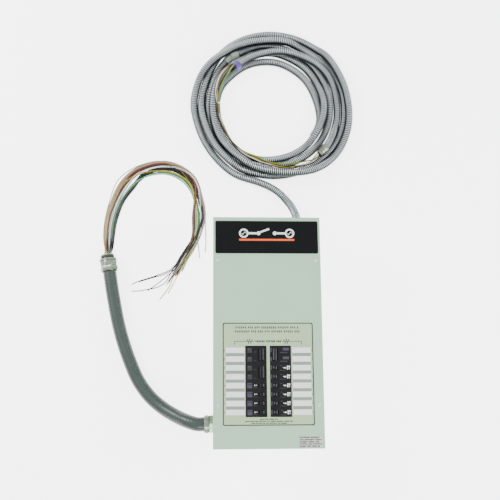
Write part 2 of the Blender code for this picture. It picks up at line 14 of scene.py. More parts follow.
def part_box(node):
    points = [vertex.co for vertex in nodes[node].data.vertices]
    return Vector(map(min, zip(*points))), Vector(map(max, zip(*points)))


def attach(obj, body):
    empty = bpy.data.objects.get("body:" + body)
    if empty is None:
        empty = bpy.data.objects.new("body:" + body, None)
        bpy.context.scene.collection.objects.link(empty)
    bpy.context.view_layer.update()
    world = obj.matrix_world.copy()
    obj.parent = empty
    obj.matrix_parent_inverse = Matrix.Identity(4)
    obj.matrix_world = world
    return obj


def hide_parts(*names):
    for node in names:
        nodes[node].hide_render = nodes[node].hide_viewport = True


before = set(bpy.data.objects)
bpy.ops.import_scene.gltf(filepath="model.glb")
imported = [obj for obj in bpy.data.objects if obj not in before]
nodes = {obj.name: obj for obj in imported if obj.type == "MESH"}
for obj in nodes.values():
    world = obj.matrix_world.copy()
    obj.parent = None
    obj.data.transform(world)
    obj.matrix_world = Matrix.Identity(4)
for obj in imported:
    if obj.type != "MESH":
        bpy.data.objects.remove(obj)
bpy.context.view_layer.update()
dice = random.Random(11)

# ---- sizes shared with the part ----
WIDTH, HEIGHT, DEPTH = 0.3175, 0.6795, 0.178
PITCH, ROWS = 0.0254, 8
# how far the box's walls lie inside the edges of the cover
WALL_INSET = 0.0021
WINDOW_Y = -0.14825
NOSE_TOP = 0.1795
PLATE_GAP = 0.0003
HEADER_TOP = DEPTH + PLATE_GAP + 0.0012
HEADER_Y = 0.27675
DIRECTORY = (0.262, 0.296)
DIRECTORY_TOP = DEPTH + PLATE_GAP + 0.0004
DIRECTORY_Y = -0.12675
CONDUIT_R, THREAD_R = 0.0211, 0.0211
CONDUIT_EXIT = Vector((-0.1846, -0.266, 0.089))
CONDUIT_ROUTE = [(-0.1846, -0.266, 0.089), (-0.205, -0.266, 0.089), (-0.234, -0.257, 0.079),
                 (-0.268, -0.241, 0.057), (-0.31, -0.215, 0.0365), (-0.35, -0.1805, 0.0255),
                 (-0.3865, -0.131, 0.0216), (-0.4145, -0.069, 0.0214), (-0.4365, -0.007, 0.0214),
                 (-0.4535, 0.056, 0.0216), (-0.4636, 0.105, 0.0225), (-0.4728, 0.155, 0.0245),
                 (-0.4812, 0.209, 0.0272)]
FMC_R = 0.0127
FMC_EXIT = Vector((0.101, 0.3623, 0.0775))
FMC_LEAD = [(0.101, 0.3623, 0.0775), (0.101, 0.378, 0.0775), (0.0965, 0.403, 0.072),
            (0.0885, 0.429, 0.06), (0.075, 0.452, 0.046), (0.0549, 0.474, 0.034),
            (0.031, 0.4915, 0.029)]
COIL_CENTRE = Vector((0.029, 0.782, 0.0))
SLEEVE_AT = Vector((0.196, 0.611, 0.037))
SLEEVE_DIR = Vector((-0.715, -0.699, 0.0)).normalized()


# ---- camera, floor and light ----
CAMERA_PLACE = (-0.15, -0.34, 2.29)
CAMERA_PITCH, CAMERA_LEAN = 10.3, -2.63
CAMERA_LENS, CAMERA_SENSOR, CAMERA_SHIFT = 53.28, 36.0, 0.13
FLOOR_HALF, FLOOR_GLOW, ROOM_GLOW = 7.0, 3.8, 0.95
# name, place, what it faces, size and power of each lamp
LAMPS = [("key", (-2.5, 1.5, 1.9), (-0.05, 0.3, 0.0), (1.3, 1.3), 100),
         ("fill", (2.6, 0.1, 1.9), (0.0, 0.2, 0.0), (1.3, 1.3), 60),
         ("front", (0.1, -2.7, 1.8), (0.0, 0.2, 0.0), (1.6, 1.0), 60)]


def set_camera():
    data = bpy.data.cameras.new("camera")
    data.lens = CAMERA_LENS
    data.sensor_width = CAMERA_SENSOR
    data.shift_y = CAMERA_SHIFT
    camera = bpy.data.objects.new("camera", data)
    camera.matrix_world = (Matrix.Translation(CAMERA_PLACE)
                           @ Matrix.Rotation(math.radians(CAMERA_PITCH), 4, "X")
                           @ Matrix.Rotation(math.radians(CAMERA_LEAN), 4, "Y"))
    bpy.context.scene.collection.objects.link(camera)
    bpy.context.scene.camera = camera


def area_light(name, place, target, size, power):
    data = bpy.data.lights.new(name, "AREA")
    data.shape = "RECTANGLE"
    data.size, data.size_y = size
    data.energy = power
    lamp = bpy.data.objects.new(name, data)
    place, target = Vector(place), Vector(target)
    lamp.matrix_world = (Matrix.Translation(place)
                         @ (target - place).to_track_quat("-Z", "Y").to_matrix().to_4x4())
    bpy.context.scene.collection.objects.link(lamp)


def set_stage():
    mesh = bpy.data.meshes.new("floor")
    corners = [(x * FLOOR_HALF, y * FLOOR_HALF, 0) for x, y in ((-1, -1), (1, -1), (1, 1), (-1, 1))]
    mesh.from_pydata(corners, [], [(0, 1, 2, 3)])
    floor = bpy.data.objects.new("floor", mesh)
    bpy.context.scene.collection.objects.link(floor)
    mat = bpy.data.materials.new("floor_paper")
    mat.use_nodes = True
    shader = mat.node_tree.nodes["Principled BSDF"]
    shader.inputs["Base Color"].default_value = (0.92, 0.92, 0.92, 1)
    shader.inputs["Roughness"].default_value = 0.9
    shader.inputs["Specular IOR Level"].default_value = 0.0
    shader.inputs["Emission Color"].default_value = (1, 1, 1, 1)
    shader.inputs["Emission Strength"].default_value = FLOOR_GLOW
    mesh.materials.append(mat)
    world = bpy.data.worlds.new("studio")
    world.use_nodes = True
    world.node_tree.nodes["Background"].inputs["Color"].default_value = (0.95, 0.98, 1.0, 1)
    world.node_tree.nodes["Background"].inputs["Strength"].default_value = ROOM_GLOW
    bpy.context.scene.world = world
    for lamp in LAMPS:
        area_light(*lamp)


set_camera()
set_stage()


# ---- curves through points ----
def smooth(points, spacing):
    """Points this far apart on a centripetal Catmull-Rom curve through the given ones."""
    points = np.array([list(p) for p in points], float)
    ends = np.vstack([2 * points[0] - points[1], points, 2 * points[-1] - points[-2]])
    fine = []
    for a, b, c, d in zip(ends, ends[1:], ends[2:], ends[3:]):
        knots = [0.0]
        for p, q in ((a, b), (b, c), (c, d)):
            knots.append(knots[-1] + max(1e-6, np.linalg.norm(q - p)) ** 0.5)
        k0, k1, k2, k3 = knots
        t = np.linspace(k1, k2, 24, endpoint=False)[:, None]
        a1 = (k1 - t) / (k1 - k0) * a + (t - k0) / (k1 - k0) * b
        a2 = (k2 - t) / (k2 - k1) * b + (t - k1) / (k2 - k1) * c
        a3 = (k3 - t) / (k3 - k2) * c + (t - k2) / (k3 - k2) * d
        b1 = (k2 - t) / (k2 - k0) * a1 + (t - k0) / (k2 - k0) * a2
        b2 = (k3 - t) / (k3 - k1) * a2 + (t - k1) / (k3 - k1) * a3
        fine.append((k2 - t) / (k2 - k1) * b1 + (t - k1) / (k2 - k1) * b2)
    fine = np.vstack(fine + [points[-1:]])
    return respace(fine, spacing)


def travelled(line):
    return np.concatenate([[0.0], np.cumsum(np.linalg.norm(np.diff(line, axis=0), axis=1))])


def respace(line, spacing):
    gone = travelled(line)
    count = max(2, int(round(gone[-1] / spacing)) + 1)
    wanted = np.linspace(0.0, gone[-1], count)
    return np.stack([np.interp(wanted, gone, line[:, axis]) for axis in range(3)], axis=1)


def frames(line):
    """Two directions across a line at each of its points, turning as little as they can."""
    tangent = np.gradient(line, axis=0)
    tangent /= np.linalg.norm(tangent, axis=1)[:, None]
    across = np.zeros_like(line)
    first = np.cross(tangent[0], (0.0, 0.0, 1.0))
    across[0] = first / np.linalg.norm(first)
    for i in range(1, len(line)):
        side = across[i - 1] - tangent[i] * np.dot(across[i - 1], tangent[i])
        across[i] = side / np.linalg.norm(side)
    return across, np.cross(tangent, across)


# ---- things lying on the floor and on each other ----
CLEARANCE = 0.0002


def settle(routes, radius, rounds, sideways, fall, hold, keep_order=False, pinned=2, solid=None,
           solid_radius=0.0):
    """Moves the points of tubes until they lie on the floor and don't pass through each other.

    sideways is how freely they move apart across, fall is how far they drop a round, and hold is
    how strongly they return to where they were laid.  keep_order leaves the one that was laid
    higher on top, pinned is how many points at the start of each stay, and solid is a line that
    doesn't move.
    """
    counts = [len(r) for r in routes]
    home = np.vstack(routes)
    line = home.copy()
    owner = np.repeat(np.arange(len(routes)), counts)
    place = np.concatenate([travelled(r) for r in routes])
    starts = np.concatenate([[0], np.cumsum(counts)])
    thick = 2 * radius + CLEARANCE
    fixed = np.zeros(len(line), bool)
    for first, last in zip(starts, starts[1:]):
        fixed[first:first + pinned] = True
    if solid is not None:
        tree = kdtree.KDTree(len(solid))
        for i, p in enumerate(solid):
            tree.insert(p, i)
        tree.balance()
    for turn in range(rounds):
        if turn % 12 == 0:
            near = kdtree.KDTree(len(line))
            for i, p in enumerate(line):
                near.insert(p, i)
            near.balance()
            firsts, seconds = [], []
            for i, p in enumerate(line):
                for _, j, _ in near.find_range(p, thick * 1.5):
                    if j > i and (owner[i] != owner[j] or abs(place[i] - place[j]) > 5 * thick):
                        firsts.append(i)
                        seconds.append(j)
            firsts, seconds = np.array(firsts, int), np.array(seconds, int)
            if solid is not None:
                backed = [(i, j) for i, p in enumerate(line)
                          for _, j, _ in tree.find_range(p, radius + solid_radius + 0.004)]
                back_i = np.array([b[0] for b in backed], int)
                back_j = np.array([b[1] for b in backed], int)
        line[~fixed, 2] -= fall
        if len(firsts):
            apart = line[firsts] - line[seconds]
            if keep_order:
                order = home[firsts, 2] - home[seconds, 2]
                wrong = (np.abs(order) > 0.004) & (np.sign(order) != np.sign(apart[:, 2]))
                apart[wrong, 2] = np.sign(order[wrong]) * np.maximum(0.002, np.abs(apart[wrong, 2]))
            gap = np.linalg.norm(apart, axis=1) + 1e-9
            short = np.clip(thick - gap, 0.0, None)
            push = apart / gap[:, None] * (short * 0.5)[:, None]
            push[:, :2] *= sideways
            count = np.ones(len(line))
            np.add.at(count, firsts[short > 0], 1)
            np.add.at(count, seconds[short > 0], 1)
            move = np.zeros_like(line)
            np.add.at(move, firsts, push)
            np.add.at(move, seconds, -push)
            line += np.where(fixed[:, None], 0.0, move / np.sqrt(count)[:, None])
        if solid is not None and len(back_i):
            apart = line[back_i] - solid[back_j]
            gap = np.linalg.norm(apart, axis=1) + 1e-9
            short = np.clip(radius + solid_radius - gap, 0.0, None)
            push = apart / gap[:, None] * short[:, None] * 0.5
            move = np.zeros_like(line)
            np.add.at(move, back_i, push)
            line += np.where(fixed[:, None], 0.0, move)
        line[~fixed, :2] += (home[~fixed, :2] - line[~fixed, :2]) * hold
        for first, last in zip(starts, starts[1:]):
            piece = line[first:last]
            off = piece - home[first:last]
            even = off.copy()
            even[1:-1] = off[1:-1] * 0.5 + (off[:-2] + off[2:]) * 0.25
            free = ~fixed[first:last]
            piece[free] = (home[first:last] + even)[free]
        line[:, 2] = np.where(fixed, line[:, 2], np.maximum(line[:, 2], radius + CLEARANCE))
    result = []
    for first, last in zip(starts, starts[1:]):
        piece = line[first:last].copy()
        for _ in range(2):
            piece[1:-1] = piece[1:-1] * 0.5 + (piece[:-2] + piece[2:]) * 0.25
        result.append(piece)
    return result


# the outer turns bulge to the right and to the top, from this radius on and by up to this much
BULGE_FROM, BULGE_OVER, BULGE_X, BULGE_Y = 0.185, 0.07, 0.008, 0.012
TURN_STEP, RING_STEP = 20, 20.65
CONDUIT_SPACING = 0.008


def polar(angle, radius, height):
    across, up = math.cos(math.radians(angle)), math.sin(math.radians(angle))
    spread = min(1.0, max(0.0, (radius - BULGE_FROM) / BULGE_OVER))
    return (COIL_CENTRE.x + radius * across + BULGE_X * spread * max(0.0, across),
            COIL_CENTRE.y + radius * up + BULGE_Y * spread * max(0.0, up), height)


def spiral(first_angle, step, rows):
    """Points that run clockwise round the coil, one for each (radius, height) in millimetres."""
    return [polar(first_angle - step * n, r / 1000, z / 1000) for n, (r, z) in enumerate(rows)]


# radius and height of the conduit's middle in millimetres at each step, read from the photo
MAIN_TURNS = [
    (271, 31), (267, 34), (257, 16), (250, 13), (248, 15), (240, 30), (228, 38), (216, 36), (209, 30),
    (211, 30), (218, 24), (232, 13), (235, 13), (239, 13), (245, 13), (251, 13), (253, 13), (250, 13),
    (246, 14), (242, 32), (235, 36), (225, 34), (222, 24), (222, 13), (231, 13), (237, 13), (239, 16),
    (241, 24), (242, 30), (239, 38), (240, 38), (246, 38), (257, 37), (266, 36), (264, 37), (250, 38),
    (235, 38), (221, 38), (209, 38), (195, 38), (186, 38), (184, 34), (182, 28), (182, 25), (184, 16),
    (183, 13), (179, 13), (179, 14), (178, 26), (175, 36), (178, 38), (184, 37), (191, 29), (198, 30),
    (203, 27), (206, 15), (200, 13), (188, 13), (181, 13), (176, 13), (168, 13), (160, 13), (153, 13),
    (150, 13), (146, 13), (147, 13), (152, 13), (161, 13), (175, 13), (183, 13)]
SHORT_TURN = [(164, 44), (169, 44), (176, 38), (184, 36), (195, 36), (206, 36), (214, 36), (224, 36),
              (233, 36)]
RING_TURN = [(205, 16), (205, 14), (205, 14), (199, 14), (195, 14), (193, 14), (197, 14), (201, 14),
             (207, 18), (210, 16), (211, 14), (222, 14), (231, 14), (225, 14), (214, 14), (207, 14),
             (206, 14), (206, 16)]
sleeve_end = SLEEVE_AT - SLEEVE_DIR * 0.015
main_home = smooth(FMC_LEAD + spiral(260, TURN_STEP, MAIN_TURNS), CONDUIT_SPACING)
short_home = smooth(spiral(130, TURN_STEP, SHORT_TURN) + [tuple(sleeve_end)], CONDUIT_SPACING)[::-1]
ring_home = smooth(spiral(124, RING_STEP, RING_TURN), CONDUIT_SPACING)
main_line, short_line, ring_line = settle([main_home, short_home, ring_home], FMC_R, 150, 0.35,
                                          0.0003, 0.02, keep_order=True)
short_line = short_line[::-1]


# ---- surfaces ----
def linear(red, green, blue):
    """A colour given as 0 to 255 on screen, as the shader wants it."""
    return tuple((c / 255 / 12.92) if c / 255 <= 0.04045 else ((c / 255 + 0.055) / 1.055) ** 2.4
                 for c in (red, green, blue))


def surface(name, colour, roughness, metallic=0.0, mottle=0.06, mottle_scale=40.0, grain=600.0,
            bump=0.05, depth=0.0002, rough_spread=0.06, coat=0.0, stretch=(1, 1, 1), worn=None,
            gleam=0.35, under=None):
    """A material with uneven colour, uneven gloss and a fine relief, all by noise in metres.

    Colours are given as 0 to 255 on screen.  worn is the colour, noise scale and threshold of
    specks, gleam is the specular level, and under is painted shade: the colour of what faces
    sideways or down.
    """
    colour = linear(*colour)
    mat = bpy.data.materials.new(name)
    mat.use_nodes = True
    tree = mat.node_tree
    shader = tree.nodes["Principled BSDF"]
    shader.inputs["Metallic"].default_value = metallic
    shader.inputs["Specular IOR Level"].default_value = gleam
    shader.inputs["Coat Weight"].default_value = coat
    shader.inputs["Coat Roughness"].default_value = 0.12

    def link(source, output, target, entry):
        tree.links.new(source.outputs[output], target.inputs[entry])

    place = tree.nodes.new("ShaderNodeTexCoord")
    scaled = tree.nodes.new("ShaderNodeMapping")
    scaled.inputs["Scale"].default_value = stretch
    link(place, "Object", scaled, "Vector")

    def noise(scale, detail):
        node = tree.nodes.new("ShaderNodeTexNoise")
        node.inputs["Scale"].default_value = scale
        node.inputs["Detail"].default_value = detail
        link(scaled, "Vector", node, "Vector")
        return node

    broad = noise(mottle_scale, 4.0)
    shade = tree.nodes.new("ShaderNodeValToRGB")
    low = tuple(c * (1 - mottle) for c in colour)
    high = tuple(min(1.0, c * (1 + mottle)) for c in colour)
    shade.color_ramp.elements[0].position = 0.3
    shade.color_ramp.elements[1].position = 0.7
    shade.color_ramp.elements[0].color = (*low, 1)
    shade.color_ramp.elements[1].color = (*high, 1)
    link(broad, "Fac", shade, "Fac")
    link(shade, "Color", shader, "Base Color")
    if worn:
        specks = noise(worn[1], 6.0)
        limit = tree.nodes.new("ShaderNodeMapRange")
        limit.inputs["From Min"].default_value = worn[2]
        limit.inputs["From Max"].default_value = worn[2] + 0.05
        mixed = tree.nodes.new("ShaderNodeMix")
        mixed.data_type = "RGBA"
        mixed.inputs["B"].default_value = (*linear(*worn[0]), 1)
        link(specks, "Fac", limit, "Value")
        link(limit, "Result", mixed, "Factor")
        link(shade, "Color", mixed, "A")
        link(mixed, "Result", shader, "Base Color")
    # painted shade: what faces sideways or down is mixed towards the darker under colour, as if unlit
    if under:
        upward = tree.nodes.new("ShaderNodeNewGeometry")
        parts = tree.nodes.new("ShaderNodeSeparateXYZ")
        facing = tree.nodes.new("ShaderNodeMapRange")
        facing.inputs["From Min"].default_value = 0.45
        facing.inputs["From Max"].default_value = 0.97
        painted_shade = tree.nodes.new("ShaderNodeMix")
        painted_shade.data_type = "RGBA"
        painted_shade.inputs["A"].default_value = (*linear(*under), 1)
        link(upward, "Normal", parts, "Vector")
        link(parts, "Z", facing, "Value")
        link(facing, "Result", painted_shade, "Factor")
        tree.links.new(shader.inputs["Base Color"].links[0].from_socket, painted_shade.inputs["B"])
        link(painted_shade, "Result", shader, "Base Color")
    gloss = tree.nodes.new("ShaderNodeMapRange")
    gloss.inputs["To Min"].default_value = max(0.02, roughness - rough_spread)
    gloss.inputs["To Max"].default_value = min(1.0, roughness + rough_spread)
    middle = noise(mottle_scale * 5, 3.0)
    link(middle, "Fac", gloss, "Value")
    link(gloss, "Result", shader, "Roughness")
    fine = noise(grain, 3.0)
    relief = tree.nodes.new("ShaderNodeBump")
    relief.inputs["Strength"].default_value = bump
    relief.inputs["Distance"].default_value = depth
    link(fine, "Fac", relief, "Height")
    link(relief, "Normal", shader, "Normal")
    return mat


ENAMEL = surface("sage_powder_coat", (172, 207, 178), 0.42, mottle=0.03, mottle_scale=9, grain=900,
                 bump=0.35, depth=0.00012, rough_spread=0.05, worn=((158, 191, 164), 260, 0.7))
NAMEPLATE = surface("black_nameplate", (9, 10, 12), 0.3, mottle=0.15, grain=1600, bump=0.1,
                    depth=0.00004, gleam=0.2)
FILM = surface("directory_film", (176, 198, 160), 0.4, mottle=0.02, mottle_scale=14, grain=1500,
               bump=0.12, depth=0.00005)
WHITE_INK = surface("white_ink", (240, 243, 240), 0.45, mottle=0.03, grain=1200)
GREY_INK = surface("grey_ink", (20, 26, 22), 0.5, mottle=0.08, grain=1200)
PALE_INK = surface("pale_ink", (112, 126, 110), 0.5, mottle=0.08, grain=1200)
ORANGE_INK = surface("orange_ink", (232, 98, 40), 0.4, mottle=0.06, grain=1200)
PAPER = surface("write_on_paper", (242, 245, 240), 0.65, mottle=0.025, mottle_scale=60, grain=1400,
                bump=0.2)
STEEL = surface("zinc_plated_steel", (236, 240, 234), 0.38, 0.4, mottle=0.1, mottle_scale=90,
                grain=700, bump=0.15, worn=((215, 210, 180), 120, 0.62))
GALVANISED = surface("galvanised_sheet", (178, 184, 184), 0.38, 1.0, mottle=0.16, mottle_scale=55,
                     grain=300, bump=0.1)
TINNED = surface("tinned_bus_metal", (205, 205, 200), 0.28, 1.0, mottle=0.07, grain=500, bump=0.12,
                 stretch=(1, 8, 1))
COPPER = surface("enamelled_copper", (176, 96, 56), 0.32, 1.0, mottle=0.12, mottle_scale=80,
                 grain=900)
BREAKER = surface("moulded_black", (14, 14, 16), 0.46, mottle=0.22, mottle_scale=70, grain=1100,
                  bump=0.35, depth=0.00012, gleam=0.3)
HANDLE = surface("handle_black", (24, 24, 27), 0.36, mottle=0.12, grain=900, bump=0.15)
PHENOLIC = surface("phenolic_brown", (62, 48, 40), 0.52, mottle=0.2, mottle_scale=110, grain=800,
                   bump=0.25)
INSULATOR = surface("grey_thermoset", (122, 126, 128), 0.55, mottle=0.1, grain=800, bump=0.25)
LEVER = surface("red_grip", (176, 40, 30), 0.4, mottle=0.08, grain=600, bump=0.2)
# the under colours of the jacket, the zinc fittings and the galvanised strip are painted shade on their
# sides and undersides
JACKET = surface("grey_pvc_jacket", (64, 74, 70), 0.3, mottle=0.05, mottle_scale=24, grain=420,
                 bump=0.25, depth=0.0002, under=(22, 27, 26))
ZINC = surface("zinc_die_casting", (160, 170, 154), 0.3, 0.8, mottle=0.12, mottle_scale=75,
               grain=520, bump=0.3, depth=0.0003, under=(50, 58, 50))
CONDUIT = surface("galvanised_strip", (216, 225, 226), 0.32, 0.6, mottle=0.1, mottle_scale=60,
                  grain=240, bump=0.1, under=(18, 23, 28))
# painted shade: near-black colour for the faces down in the grooves between the strip's ribs
GROOVE_SHADE = surface("painted_groove_shade", (5, 7, 9), 0.7, 0.0, mottle=0.2, mottle_scale=60, grain=300)
PURPLE = surface("purple_bushing", (92, 72, 150), 0.4, mottle=0.08, grain=700)
GREY_PLASTIC = surface("grey_coupling", (160, 172, 164), 0.45, mottle=0.08, grain=700)
NYLON = surface("white_nylon_tie", (240, 238, 232), 0.42, mottle=0.04, grain=800)
# painted shade: near-black colour for the cross recesses of the screw heads; it also colours the seams on
# the breakers
DARK = surface("painted_recess_shade_and_seam", (24, 26, 27), 0.7, mottle=0.1, grain=700)
STRIP_INK = surface("grey_print", (136, 150, 136), 0.5, mottle=0.05, grain=1200)
TITLE_INK = surface("title_ink", (72, 84, 72), 0.5, mottle=0.08, grain=1200)
PAPER_SOFT = surface("pale_label", (206, 214, 204), 0.55, mottle=0.03, grain=1300)
PATCH = surface("grey_violet_patch", (66, 62, 76), 0.5, mottle=0.12, mottle_scale=120, grain=1300)
PATCH_DARK = surface("dark_grey_patch", (48, 48, 52), 0.5, mottle=0.15, mottle_scale=120, grain=1300)
# painted shade: darker rings for the stamped cuts of the knockouts
SEAM_SHADE = surface("painted_seam_shade", (92, 112, 97), 0.5, mottle=0.08, grain=900)


def insulation(name, red, green, blue):
    return surface(f"wire_{name}", (red, green, blue), 0.34, mottle=0.06, mottle_scale=30, grain=500,
                   bump=0.12, coat=0.15)


WIRES = {name: insulation(name, *colour) for name, colour in {
    "black": (12, 12, 13), "navy": (16, 20, 48), "white": (236, 236, 230), "green": (70, 128, 62),
    "dark_green": (38, 84, 52), "lime": (138, 152, 48), "yellow": (186, 164, 60), "orange": (128, 70, 40),
    "red": (98, 38, 30), "brown": (76, 42, 28), "dark_brown": (58, 36, 28), "tan": (172, 138, 96),
    "grey": (128, 128, 132), "pale": (176, 204, 196)}.items()}


# ---- mesh makers ----
def add(name, mesh, mat, body, angle=35.0):
    obj = bpy.data.objects.new(name, mesh)
    bpy.context.scene.collection.objects.link(obj)
    for one in (mat if isinstance(mat, (list, tuple)) else [mat]):
        mesh.materials.append(one)
    mesh.shade_smooth()
    mesh.set_sharp_from_angle(angle=math.radians(angle))
    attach(obj, body)
    return obj


def mesh_of(name, points, faces):
    mesh = bpy.data.meshes.new(name)
    mesh.from_pydata([tuple(p) for p in points], [], [tuple(f) for f in faces])
    mesh.update()
    return mesh


def mesh_from(bm, name):
    """The mesh of this name that a bmesh makes; the bmesh is freed."""
    mesh = bpy.data.meshes.new(name)
    bm.to_mesh(mesh)
    bm.free()
    return mesh


def facing_out(mesh):
    """The same closed mesh with every face turned outwards."""
    bm = bmesh.new()
    bm.from_mesh(mesh)
    bmesh.ops.recalc_face_normals(bm, faces=bm.faces)
    bm.to_mesh(mesh)
    bm.free()
    return mesh


def tube_faces(rows, sides):
    """The faces between each ring of points and the next."""
    return [(i * sides + k, i * sides + (k + 1) % sides, (i + 1) * sides + (k + 1) % sides,
             (i + 1) * sides + k) for i in range(rows - 1) for k in range(sides)]


def end_faces(rows, sides):
    """The two faces that close a tube."""
    return [tuple(reversed(range(sides))), tuple((rows - 1) * sides + k for k in range(sides))]


def sweep_mesh(name, line, radius, sides, ripple=None):
    """A closed tube along a line; ripple(place, angle) adds to its radius."""
    across, up = frames(line)
    gone = travelled(line)
    points = []
    for i, centre in enumerate(line):
        for k in range(sides):
            turn = 2 * math.pi * k / sides
            r = radius + (ripple(gone[i], turn) if ripple else 0.0)
            points.append(centre + (across[i] * math.cos(turn) + up[i] * math.sin(turn)) * r)
    return mesh_of(name, points, tube_faces(len(line), sides) + end_faces(len(line), sides))


# how far a nut's corners are cut back, as a share of its radius
FLATS_SHARE = 0.985
STRIP_PITCH = 0.0062
STRIP_SIDES = 16
# place along one convolution as a share of its pitch, and depth below the crest
STRIP_PROFILE = [(0.00, 0.0022), (0.2, 0.0009), (0.34, 0.00005), (0.56, 0.00005), (0.7, 0.0009)]


def strip_mesh(name, line, radius):
    """Interlocked metal strip wound round a line: one long helical band of rounded ribs."""
    across, up = frames(line)
    gone = travelled(line)
    turns = int(gone[-1] / STRIP_PITCH)
    pitch = gone[-1] / (turns + STRIP_PROFILE[-1][0])
    steps = np.arange(turns * STRIP_SIDES + 1)
    rows = []
    for share, sunk in STRIP_PROFILE:
        place = (steps / STRIP_SIDES + share) * pitch
        centre, one, two = [np.stack([np.interp(place, gone, along[:, a]) for a in range(3)], axis=1)
                            for along in (line, across, up)]
        turn = (2 * np.pi * steps / STRIP_SIDES)[:, None]
        rows.append(centre + (one * np.cos(turn) + two * np.sin(turn)) * (radius - sunk))
    points = np.stack(rows, axis=1).reshape(-1, 3)
    wide = len(STRIP_PROFILE)
    m = np.arange(len(steps) - 1)
    quads = [np.stack([m * wide + k, m * wide + k + 1, (m + 1) * wide + k + 1, (m + 1) * wide + k], axis=1)
             for k in range(wide - 1)]
    w = np.arange(len(steps) - 1 - STRIP_SIDES)
    quads.append(np.stack([w * wide + wide - 1, (w + STRIP_SIDES) * wide, (w + STRIP_SIDES + 1) * wide,
                           (w + 1) * wide + wide - 1], axis=1))
    faces = np.concatenate(quads)
    mesh = bpy.data.meshes.new(name)
    mesh.vertices.add(len(points))
    mesh.vertices.foreach_set("co", points.ravel())
    mesh.loops.add(faces.size)
    mesh.loops.foreach_set("vertex_index", faces.ravel().astype(np.int32))
    mesh.polygons.add(len(faces))
    mesh.polygons.foreach_set("loop_start", (np.arange(len(faces)) * 4).astype(np.int32))
    # faces down in the groove take the second material, painted shade between the ribs
    shaded_groove = np.concatenate([np.full(len(q), 1 if k in (0, wide - 1) else 0)
                              for k, q in enumerate(quads)])
    mesh.polygons.foreach_set("material_index", shaded_groove.astype(np.int32))
    mesh.update(calc_edges=True)
    return mesh


def turned_mesh(name, start, axis, profile, sides=36, hollow=False):
    """A closed solid turned about an axis.

    profile is (place along, radius) from one end to the other, and back inside it if it is hollow.
    A third number is how many sides a nut has there.
    """
    start, axis = Vector(start), Vector(axis).normalized()
    turn = Vector((0, 0, 1)).rotation_difference(axis).to_matrix()
    points = []
    for along, radius, *flats in profile:
        for k in range(sides):
            angle = 2 * math.pi * k / sides
            r = radius
            if flats:
                half = math.pi / flats[0]
                inside = (angle % (2 * half)) - half
                r = min(radius, radius * FLATS_SHARE * math.cos(half) / math.cos(inside))
            points.append(start + turn @ Vector((r * math.cos(angle), r * math.sin(angle), along)))
    rows = len(profile)
    faces = tube_faces(rows, sides)
    if hollow:
        last = (rows - 1) * sides
        faces += [(last + k, last + (k + 1) % sides, (k + 1) % sides, k) for k in range(sides)]
    else:
        faces += end_faces(rows, sides)
    return facing_out(mesh_of(name, points, faces))


def turned(name, start, axis, profile, sides, mat, hollow=False):
    """A turned piece that belongs to the enclosure."""
    return add(name, turned_mesh(name, start, axis, profile, sides, hollow), mat, "enclosure")


def cuboid(bm, low, high, turn=None, bevel=0.0):
    """Adds a box between two corners to a bmesh, turned by a matrix if one is given."""
    low, high = Vector(low), Vector(high)
    made = bmesh.ops.create_cube(bm, size=1.0)["verts"]
    bmesh.ops.scale(bm, vec=high - low, verts=made)
    bmesh.ops.translate(bm, vec=(low + high) / 2, verts=made)
    if bevel:
        edges = list({e for v in made for e in v.link_edges})
        made = [v for v in bmesh.ops.bevel(bm, geom=edges, offset=bevel, segments=2,
                                           affect="EDGES")["verts"]]
    if turn is not None:
        bmesh.ops.transform(bm, matrix=turn, verts=made)
    return made


def boxes_mesh(name, boxes, bevel=0.0):
    bm = bmesh.new()
    for low, high in boxes:
        cuboid(bm, low, high, bevel=bevel)
    return mesh_from(bm, name)


def wire_curve(name, line, radius, mat, body="enclosure"):
    data = bpy.data.curves.new(name, "CURVE")
    data.dimensions = "3D"
    data.bevel_depth = radius
    data.bevel_resolution = 2
    data.use_fill_caps = True
    spline = data.splines.new("POLY")
    spline.points.add(len(line) - 1)
    for point, place in zip(spline.points, line):
        point.co = (*[float(c) for c in place], 1.0)
    spline.use_smooth = True
    data.materials.append(mat)
    obj = bpy.data.objects.new(name, data)
    bpy.context.scene.collection.objects.link(obj)
    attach(obj, body)
    return obj


# ---- liquid-tight whip and its fittings ----
def jacket_ripple(place, turn):
    """The strip under the jacket shows as a faint helical wave."""
    return 0.00016 * math.cos(2 * math.pi * place / 0.0085 - turn)


